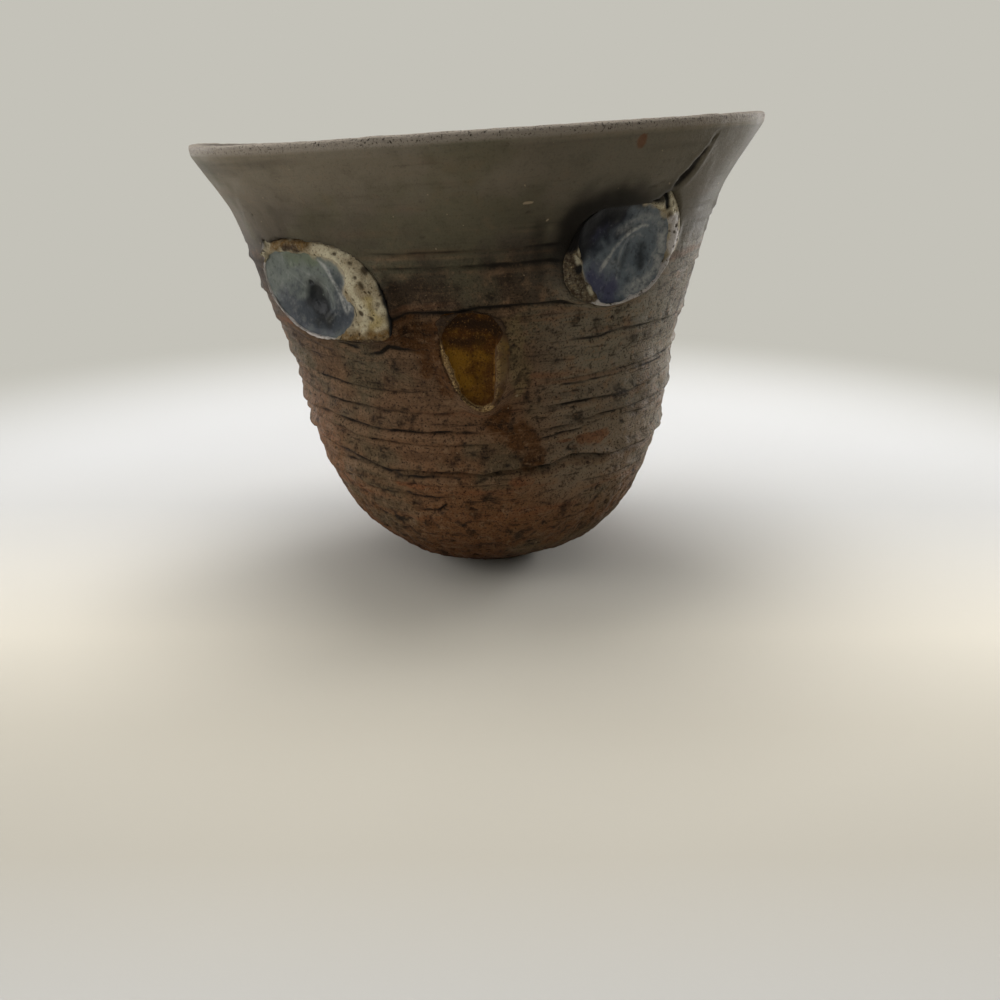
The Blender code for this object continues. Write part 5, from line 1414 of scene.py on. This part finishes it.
def stoneware_material(colours):
    """Reduced stoneware, unglazed and flashed by the kiln.

    Iron in the body turns rust brown low down and ashy grey towards the rim. The throwing drew
    it into level streaks, the torn grooves stay black, and grog shows as pale flecks. The grain
    is 0.2 mm grog, drawn at 0.5 mm so that it shows.
    """
    material, add = start_material("reduced stoneware, unglazed")
    place = add("TexCoord").outputs["Object"]
    level = add("Attribute", attribute_name="level").outputs["Fac"]
    # Noise on this is drawn out along the wall, and follows the throwing lines
    stretched = add("Mapping", {"Vector": place, "Scale": (0.08, 0.08, 1.0)}).outputs[0]
    flat = add("SeparateXYZ", {"Vector": stretched})
    drawn = add("CombineXYZ", {"X": flat.outputs["X"], "Y": flat.outputs["Y"], "Z": level}).outputs[0]
    of = masks_and_grains(add, place, (
        "stain", "tan", "ash", "bare", "pale", "deep_shade", "shade", "groove_shade", "ledge", "inside_shade"), {
        "cloud": (16.0, 3.0, 0.5), "patch": (24.0, 3.0, 0.6), "blotch": (4.5, 3.0, 0.6),
        "mottle": (1.8, 4.0, 0.65), "crumb": (0.5, 3.0, 0.75), "fleck": (1.1, 0.0, 0.5),
        "glaze": (9.0, 2.0, 0.5)})
    of.update(masks_and_grains(add, drawn, (), {"streak": (1.1, 5.0, 0.7), "sweep": (5.0, 3.0, 0.5)}))
    wander = add("MapRange", {"Value": of["cloud"], "To Min": -7 * MM, "To Max": 7 * MM}).outputs["Result"]
    height = add("Math", {0: level, 1: wander}, operation="ADD").outputs[0]
    height = add("MapRange", {"Value": height, "From Max": 120 * MM}).outputs["Result"]
    # The flare was wiped smooth by a wet sponge, and the rest left as torn by the fingers
    wiped = {"Value": level, "From Min": 98 * MM, "From Max": 74 * MM}
    torn, torn_more, bright = (
        add("MapRange", {**wiped, "To Min": low, "To Max": high},
            interpolation_type="SMOOTHSTEP").outputs["Result"]
        for low, high in ((0.12, 0.75), (0.2, 1.0), (0.1, 0.65)))
    lip = add("MapRange", {"Value": level, "From Min": 113.6 * MM, "From Max": 114.8 * MM}).outputs["Result"]
    torn_more = add("Math", {0: torn_more, 1: lip}, operation="MAXIMUM").outputs[0]
    # Colour by height; the shoulder's stop is darker partly by painted shade under the flare
    body = set_stops(add("ValToRGB", {"Fac": height}), (
        (0.0, colours.foot_rust), (0.2, colours.hip_rust), (0.36, colours.belly_brown),
        (0.55, colours.waist_brown), (0.74, colours.shoulder_grey), (0.9, colours.flare_grey)))
    colour = layers(add, body, (
        (of["patch"], 0.50, 0.64, 0.6, colours.olive),
        (of["ash"], 0.0, 0.8, 0.8, colours.ash_grey),
        (of["sweep"], 0.56, 0.72, bright, colours.orange_clay),
        (of["stain"], 0.1, 0.8, 0.9, colours.beak_stain),
        (of["tan"], 0.1, 0.8, 0.8, colours.tan_stain),
        (of["bare"], 0.3, 0.8, 0.75, colours.orange_clay),
        # Painted light on the clay just below each throwing line
        (of["ledge"], 0.1, 0.9, 0.55, colours.ledge_tan),
        (of["sweep"], 0.47, 0.30, 0.3, colours.line_black),
        (of["blotch"], 0.47, 0.30, torn, colours.line_black),
        (of["blotch"], 0.55, 0.70, bright, colours.ledge_tan),
        (of["streak"], 0.45, 0.30, torn, colours.line_black),
        (of["streak"], 0.56, 0.72, bright, colours.ledge_tan),
        (of["mottle"], 0.45, 0.30, torn, colours.line_black),
        (of["mottle"], 0.56, 0.72, bright, colours.ledge_tan),
        # Painted light on the top of the lip, which is also worn
        (lip, 0.0, 1.0, 0.9, colours.lip_grey),
        # Painted shade on the flare's right side, above the left eye and beside the right eye's dent
        (of["shade"], 0.0, 1.0, 0.42, colours.line_black),
        (of["crumb"], 0.47, 0.33, torn_more, colours.line_black),
        (of["crumb"], 0.56, 0.72, bright, colours.ledge_tan),
        (of["fleck"], 0.85, 0.89, 0.5, colours.pale_fleck),
        (of["pale"], 0.45, 0.75, 0.6, colours.pale_fleck),
        # Painted shade on the inside of the pot and in the hole's bore
        (of["inside_shade"], 0.0, 1.0, 0.55, colours.line_black),
        # Painted shade in the throwing lines, the crevices round the pads, the torn pits, the crack and the
        # hole's bore
        (of["groove_shade"], 0.06, 0.6, 0.93, colours.char_black),
        # Painted shade in the dents, under the ledge above the beak and round the crack
        (of["deep_shade"], 0.0, 1.0, 0.93, colours.char_black),
    ))
    glazed = {"Value": of["glaze"], "From Min": 0.3, "From Max": 0.7, "To Min": 0.9, "To Max": 0.7}
    roughness = add("MapRange", glazed).outputs["Result"]
    finish_material(add, colour, roughness, (
        (of["crumb"], 0.35, torn_more), (of["mottle"], 0.5, torn_more), (of["streak"], 0.4, torn_more)),
        **{"Specular IOR Level": 0.12})
    return material


def clay_material(name, colours, body, cloudy, dirt):
    """Coarse clay, torn and pressed by hand: matt and crumbly, with ochre crusts and iron specks."""
    material, add = start_material(name)
    place = add("TexCoord").outputs["Object"]
    of = masks_and_grains(add, place, (
        "yellow", "ochre", "rust", "pale", "white", "gold", "speck", "pit", "pad_shade"), {
        "cloud": (4.0, 4.0, 0.6), "crumb": (0.8, 4.0, 0.7), "grit": (0.45, 3.0, 0.7),
        "fleck": (1.0, 0.0, 0.5)})
    crusted = {"Value": of["crumb"], "From Min": 0.3, "From Max": 0.6, "To Min": 0.55}
    crusty = add("MapRange", crusted).outputs["Result"]
    glinting = add("MapRange", {"Value": of["grit"], "From Min": 0.42, "From Max": 0.6}).outputs["Result"]
    colour = layers(add, opaque(body), (
        (of["cloud"], 0.48, 0.66, 0.8, cloudy),
        (of["cloud"], 0.46, 0.30, 0.35 + dirt, colours.slip_ochre),
        (of["yellow"], 0.0, 0.9, 0.6, colours.slip_yellow),
        (of["ochre"], 0.1, 0.8, crusty, colours.slip_ochre),
        (of["rust"], 0.1, 0.8, crusty, colours.crust_brown),
        (of["pale"], 0.1, 0.8, crusty, colours.slip_pale),
        # Painted highlight on the pads' lower rims, and white lumps
        (of["white"], 0.1, 0.6, 1.0, colours.glass_rim),
        (of["crumb"], 0.44, 0.30, 0.7, colours.slip_ochre),
        (of["grit"], 0.45, 0.30, 0.75, colours.slip_speck),
        (of["grit"], 0.58, 0.72, 0.5, cloudy),
        (of["gold"], 0.1, 0.7, glinting, colours.sandy_gold),
        (of["fleck"], 0.26, 0.21, 0.85, colours.slip_speck),
        (of["speck"], 0.15, 0.9, 0.95, colours.slip_speck),
        (of["pit"], 0.0, 1.0, 0.6, colours.slip_speck),
        # Painted shade along the pads' sunk edges
        (of["pad_shade"], 0.0, 0.7, 1.0, colours.char_black),
    ))
    finish_material(add, colour, 0.88, ((of["grit"], 0.35, 1.0), (of["crumb"], 0.4, 1.0)),
                    **{"Specular IOR Level": 0.2})
    return material


def glass_material(name, milk_and_sheen, body, toned, dark, tint, rim, clay, grainy):
    """Glass that melted in the kiln and crept up to the clay: cloudy, and darker where it is deep.

    The glossy skin was dulled by ash. The more grainy it is, the more of the clay's grain shows.
    """
    material, add = start_material(name)
    place = add("TexCoord").outputs["Object"]
    of = masks_and_grains(add, place, ("tone", "tint", "deep", "milk_and_sheen", "film", "edge"), {
        "cloud": (3.2, 4.0, 0.6), "veil": (1.1, 4.0, 0.65), "grit": (0.5, 3.0, 0.7)})
    veiled = {"Value": of["veil"], "From Min": 0.38, "From Max": 0.6}
    milky, filmy = (add("MapRange", {**veiled, "To Min": low}).outputs["Result"] for low in (0.3, 0.5))
    colour = layers(add, opaque(body), (
        (of["tone"], 0.0, 0.9, 1.0, toned),
        (of["cloud"], 0.5, 0.68, 0.5, toned),
        (of["tint"], 0.0, 0.9, 0.8, tint),
        (of["cloud"], 0.44, 0.30, 0.2, milk_and_sheen),
        (of["veil"], 0.46, 0.32, 0.4, dark),
        (of["veil"], 0.56, 0.70, 0.15, milk_and_sheen),
        (of["deep"], 0.05, 0.8, 0.96, dark),
        # White swirls, partly painted sheen and reflection
        (of["milk_and_sheen"], 0.0, 1.0, milky, milk_and_sheen),
        (of["film"], 0.1, 0.8, filmy, clay),
        (of["grit"], 0.46, 0.32, grainy, dark),
        (of["grit"], 0.56, 0.70, 0.5 * grainy, tint),
        # Painted highlight along the glass's edge
        (of["edge"], 0.2, 0.9, 0.8 - 0.6 * grainy, rim),
    ))
    bumps = ((of["cloud"], 0.12, 1.0), (of["veil"], 0.05 + 0.2 * grainy, 1.0),
             (of["grit"], 0.02 + 0.3 * grainy, 1.0))
    finish_material(add, colour, 0.3 + 0.3 * grainy, bumps,
                    IOR=1.5, **{"Specular IOR Level": 0.12 - 0.05 * grainy})
    return material


# How pale the paper is by its place along Y in metres, painted to give the floor's light and
# shade, and how warm, for painted brown light that comes down from the vase
PAPER_LIGHT_TONES = ((-0.17, 0.38, 0.5), (-0.14, 0.37, 1.1), (-0.10, 0.43, 1.2), (-0.06, 0.53, 1.1),
               (0.0, 0.45, 0.5), (0.03, 0.42, 0.25), (0.09, 0.45, 0.1), (0.167, 0.47, 0.1),
               (0.30, 0.50, 0.2), (0.6, 0.54, 0.3))
BOUNCE_WARMTH = (1.0, 0.935, 0.80)
# Beyond this distance the camera sees the paper as an even pale backdrop
BACKDROP_FROM, BACKDROP_TO = 0.16, 0.34
BACKDROP_COLOUR = "#c4c2b9"


def paper_material():
    """Matt white paper, rolled out as a sweep, warm where the light is low."""
    material, add = start_material("matt white paper")
    place = add("TexCoord").outputs["Object"]
    y = add("SeparateXYZ", {"Vector": place}).outputs["Y"]
    low, high = PAPER_LIGHT_TONES[0][0], PAPER_LIGHT_TONES[-1][0]
    along = add("MapRange", {"Value": y, "From Min": low, "From Max": high}).outputs["Result"]
    paper = set_stops(add("ValToRGB", {"Fac": along}), [
        ((position - low) / (high - low), [tone * hue ** warm for hue in BOUNCE_WARMTH])
        for position, tone, warm in PAPER_LIGHT_TONES])
    of = masks_and_grains(add, place, (), {"fibre": (0.8, 2.0, 0.5), "cloud": (60.0, 2.0, 0.5)})
    paper = layers(add, paper, ((of["cloud"], 0.4, 0.7, 0.03, (0.4, 0.39, 0.36)),))
    bump = add("Bump", {"Height": of["fibre"], "Distance": 0.01 * MM}).outputs["Normal"]
    matt = add("BsdfPrincipled", {"Base Color": paper, "Roughness": 0.9, "Normal": bump}).outputs["BSDF"]
    away = add("VectorMath", {0: place}, operation="LENGTH").outputs["Value"]
    far = add("MapRange", {"Value": away, "From Min": BACKDROP_FROM, "From Max": BACKDROP_TO},
              interpolation_type="SMOOTHSTEP").outputs["Result"]
    seen = add("LightPath").outputs["Is Camera Ray"]
    seen = add("Math", {0: far, 1: seen}, operation="MULTIPLY").outputs[0]
    glow = add("Emission", {"Color": opaque(linear(BACKDROP_COLOUR))}).outputs["Emission"]
    both = add("MixShader", {0: seen, 1: matt, 2: glow}).outputs["Shader"]
    add("OutputMaterial", {"Surface": both})
    return material


def build_sweep(sizes):
    """A round sweep: flat floor, cove and backdrop in one, all round the vase."""
    turn = np.linspace(0.0, 0.5 * math.pi, COVE_ROWS)
    radius = np.concatenate((FLOOR_RINGS, sizes.floor_reach + sizes.cove_radius * np.sin(turn),
                             (sizes.floor_reach + sizes.cove_radius,)))
    height = np.concatenate((np.zeros(len(FLOOR_RINGS)), sizes.cove_radius * (1.0 - np.cos(turn)),
                             (sizes.backdrop_height,)))
    azimuth = np.arange(SWEEP_COLUMNS) * FULL_TURN / SWEEP_COLUMNS
    rows = np.stack((radius[:, None] * np.sin(azimuth), -radius[:, None] * np.cos(azimuth),
                     height[:, None] + 0.0 * azimuth), axis=-1)
    index = np.arange(len(rows) * SWEEP_COLUMNS).reshape(-1, SWEEP_COLUMNS)
    mesh = bpy.data.meshes.new("sweep")
    mesh.from_pydata([*rows.reshape(-1, 3).tolist(), (0.0, 0.0, 0.0)], [],
                     wrapped_faces(index)[:, ::-1].tolist()
                     + [(index.size, int(b), int(a)) for a, b in zip(np.roll(index[0], -1), index[0])])
    mesh.shade_smooth()
    mesh.materials.append(paper_material())
    sweep = bpy.data.objects.new("sweep", mesh)
    bpy.context.scene.collection.objects.link(sweep)


def pale_world():
    """A pale studio round the sweep, dimmer behind the camera than behind the vase."""
    world = bpy.data.worlds.new("pale studio")
    world.use_nodes = True
    world.node_tree.nodes.clear()
    add = partial(add_node, world.node_tree)
    toward = add("SeparateXYZ", {"Vector": add("TexCoord").outputs["Generated"]}).outputs["Y"]
    dimming = {"Value": toward, "From Min": -0.9, "From Max": 0.5, "To Min": 0.38, "To Max": 1.0}
    strength = add("MapRange", dimming, interpolation_type="SMOOTHSTEP").outputs["Result"]
    background = add("Background", {"Color": (0.98, 0.99, 1.0, 1.0), "Strength": strength})
    add("OutputWorld", {"Surface": background.outputs["Background"]})
    return world


# Soft square lamps: name, place and aim, width and power in watts. The overhead lamp has its
# height and width in the stage's settings.
OVERHEAD_X, OVERHEAD_Y, OVERHEAD_POWER = -0.05, 0.10, 7.5
OVERHEAD_AIM = (0.0, 0.0, 0.05)
SIDE_LAMPS = (
    ("left_lamp", (-0.90, -0.25, 0.34), (0.0, 0.0, 0.06), 0.5, 4.2),
    ("rear_right_lamp", (0.62, 0.60, 0.12), (0.0, 0.0, 0.06), 0.35, 10.5),
    ("rear_left_lamp", (-0.60, 0.60, 0.12), (0.0, 0.0, 0.06), 0.35, 4.0),
)
# The camera stands where it was fitted to the photo's throwing lines
CAMERA_PLACE = (0.0009, -0.2786, 0.116)
CAMERA_CLIP_START = 0.01


def add_lamp(name, location, aim, size, power):
    """A soft square lamp that points at a place."""
    lamp = bpy.data.objects.new(name, bpy.data.lights.new(name, "AREA"))
    lamp.data.size = size
    lamp.data.energy = power
    lamp.location = location
    lamp.rotation_euler = (Vector(aim) - Vector(location)).to_track_quat("-Z", "Y").to_euler()
    bpy.context.scene.collection.objects.link(lamp)


class VASE_OT_throw_pot(Operator):
    """Throw the leaning pot, press its sockets and throwing lines and open its hanging hole"""
    bl_idname = "vase.throw_pot"
    bl_label = "Throw the Pot"

    def execute(self, context):
        wall, pads = vase_parts(context.scene)
        points, faces, masks = PotSkin(wall, pads).cut_hanging_hole()
        material = stoneware_material(context.scene.vase_finish)
        add_piece("thrown_pot", "pot_body", points, faces, masks, material)
        return {"FINISHED"}


class VASE_OT_press_eyes(Operator):
    """Press the two pads of white clay into their sockets"""
    bl_idname = "vase.press_eyes"
    bl_label = "Press the Eyes"

    def execute(self, context):
        colours = context.scene.vase_finish
        _, (left, right, _) = vase_parts(context.scene)
        material = clay_material("white clay, torn and pressed", colours, colours.slip_cream,
                                 colours.slip_pale, 0.1)
        for pad, side, marks, seed in ((left, "left", LEFT_CLAY_MARKS, 101),
                                       (right, "right", RIGHT_CLAY_MARKS, 121)):
            skin, masks = press_pad(pad, marks, 1.0, seed)
            add_pad_piece(pad, f"{side}_eye_pad", f"{side}_eye_clay", skin, masks, material)
        return {"FINISHED"}


class VASE_OT_pour_eyes(Operator):
    """Melt blue grey glass in the left eye and navy glass in the right one"""
    bl_idname = "vase.pour_eyes"
    bl_label = "Pour the Eyes' Glass"

    def execute(self, context):
        colours = context.scene.vase_finish
        _, (left, right, _) = vase_parts(context.scene)
        shared = (colours.glass_rim, colours.slip_cream, 0.1)
        grey = glass_material("blue grey melted glass", colours.glass_milk, colours.glass_grey,
                              colours.glass_blue, colours.glass_dark, colours.glass_green, *shared)
        navy = glass_material("navy melted glass", colours.glass_milk, colours.navy_pale,
                              colours.navy_blue, colours.navy_dark, colours.navy_violet, *shared)
        for pad, side, marks, seed, material in ((left, "left", LEFT_GLASS_MARKS, 141, grey),
                                                 (right, "right", RIGHT_GLASS_MARKS, 161, navy)):
            skin, masks = pour_glass(pad, marks, seed)
            add_pad_piece(pad, f"{side}_eye_pool", f"{side}_eye_glass", skin, masks, material)
        return {"FINISHED"}


class VASE_OT_form_beak(Operator):
    """Set the beak under its ledge: a small pad of sandy clay and its drop of amber glass"""
    bl_idname = "vase.form_beak"
    bl_label = "Form the Beak"

    def execute(self, context):
        colours = context.scene.vase_finish
        _, (_, _, beak) = vase_parts(context.scene)
        sandy = clay_material("sandy clay, stained by rust", colours, colours.sandy_clay,
                              colours.waist_brown, 0.4)
        amber = glass_material("amber melted glass", colours.amber_gold, colours.amber_mid,
                               colours.amber_pale, colours.amber_dark, colours.amber_gold,
                               colours.amber_mid, colours.sandy_gold, 0.8)
        skin, masks = press_pad(beak, BEAK_CLAY_MARKS, 0.7, 181)
        add_pad_piece(beak, "beak_pad", "beak_clay", skin, masks, sandy)
        skin, masks = pour_glass(beak, BEAK_GLASS_MARKS, 201)
        add_pad_piece(beak, "beak_pool", "beak_glass", skin, masks, amber)
        return {"FINISHED"}


class VASE_OT_set_stage(Operator):
    """Roll out the paper sweep, hang the soft lamps and place the camera"""
    bl_idname = "vase.set_stage"
    bl_label = "Set the Stage"

    def execute(self, context):
        scene, sizes = context.scene, context.scene.vase_stage
        build_sweep(sizes)
        overhead = (OVERHEAD_X, OVERHEAD_Y, sizes.lamp_height)
        add_lamp("overhead_lamp", overhead, OVERHEAD_AIM, sizes.lamp_width, OVERHEAD_POWER)
        for lamp in SIDE_LAMPS:
            add_lamp(*lamp)
        scene.world = pale_world()
        scene.view_settings.view_transform = "Standard"
        camera = bpy.data.objects.new("camera", bpy.data.cameras.new("camera"))
        camera.data.lens = sizes.camera_lens
        camera.data.clip_start = CAMERA_CLIP_START
        camera.location = CAMERA_PLACE
        camera.rotation_euler = (sizes.camera_tip, 0.0, 0.0)
        scene.collection.objects.link(camera)
        scene.camera = camera
        return {"FINISHED"}


OPERATORS = (VASE_OT_throw_pot, VASE_OT_press_eyes, VASE_OT_pour_eyes, VASE_OT_form_beak, VASE_OT_set_stage)


class VASE_PT_builder(Panel):
    """Lists the steps that build the vase, and their sizes"""
    bl_idname = "VASE_PT_builder"
    bl_label = "Hanging Bird Vase"
    bl_space_type = "VIEW_3D"
    bl_region_type = "UI"
    bl_category = "Vase"

    def draw(self, context):
        for operator in OPERATORS:
            self.layout.operator(operator.bl_idname)
        for name, group in SETTINGS.items():
            box = self.layout.box()
            box.label(text=group.__doc__)
            for size in group.__annotations__:
                box.prop(getattr(context.scene, name), size)


CLASSES = (*SETTINGS.values(), *OPERATORS, VASE_PT_builder)


def register():
    """Register the classes and put the settings on scenes."""
    for cls in CLASSES:
        bpy.utils.register_class(cls)
    for name, group in SETTINGS.items():
        setattr(bpy.types.Scene, name, PointerProperty(type=group))


def unregister():
    """Take the settings and classes away again."""
    for name in SETTINGS:
        delattr(bpy.types.Scene, name)
    for cls in reversed(CLASSES):
        bpy.utils.unregister_class(cls)


def main():
    """Build the vase and its stage, and write the sizes of the CAD and of the visual model."""
    register()
    bpy.ops.vase.throw_pot()
    bpy.ops.vase.press_eyes()
    bpy.ops.vase.pour_eyes()
    bpy.ops.vase.form_beak()
    bpy.ops.vase.set_stage()


if __name__ == "__main__":
    main()
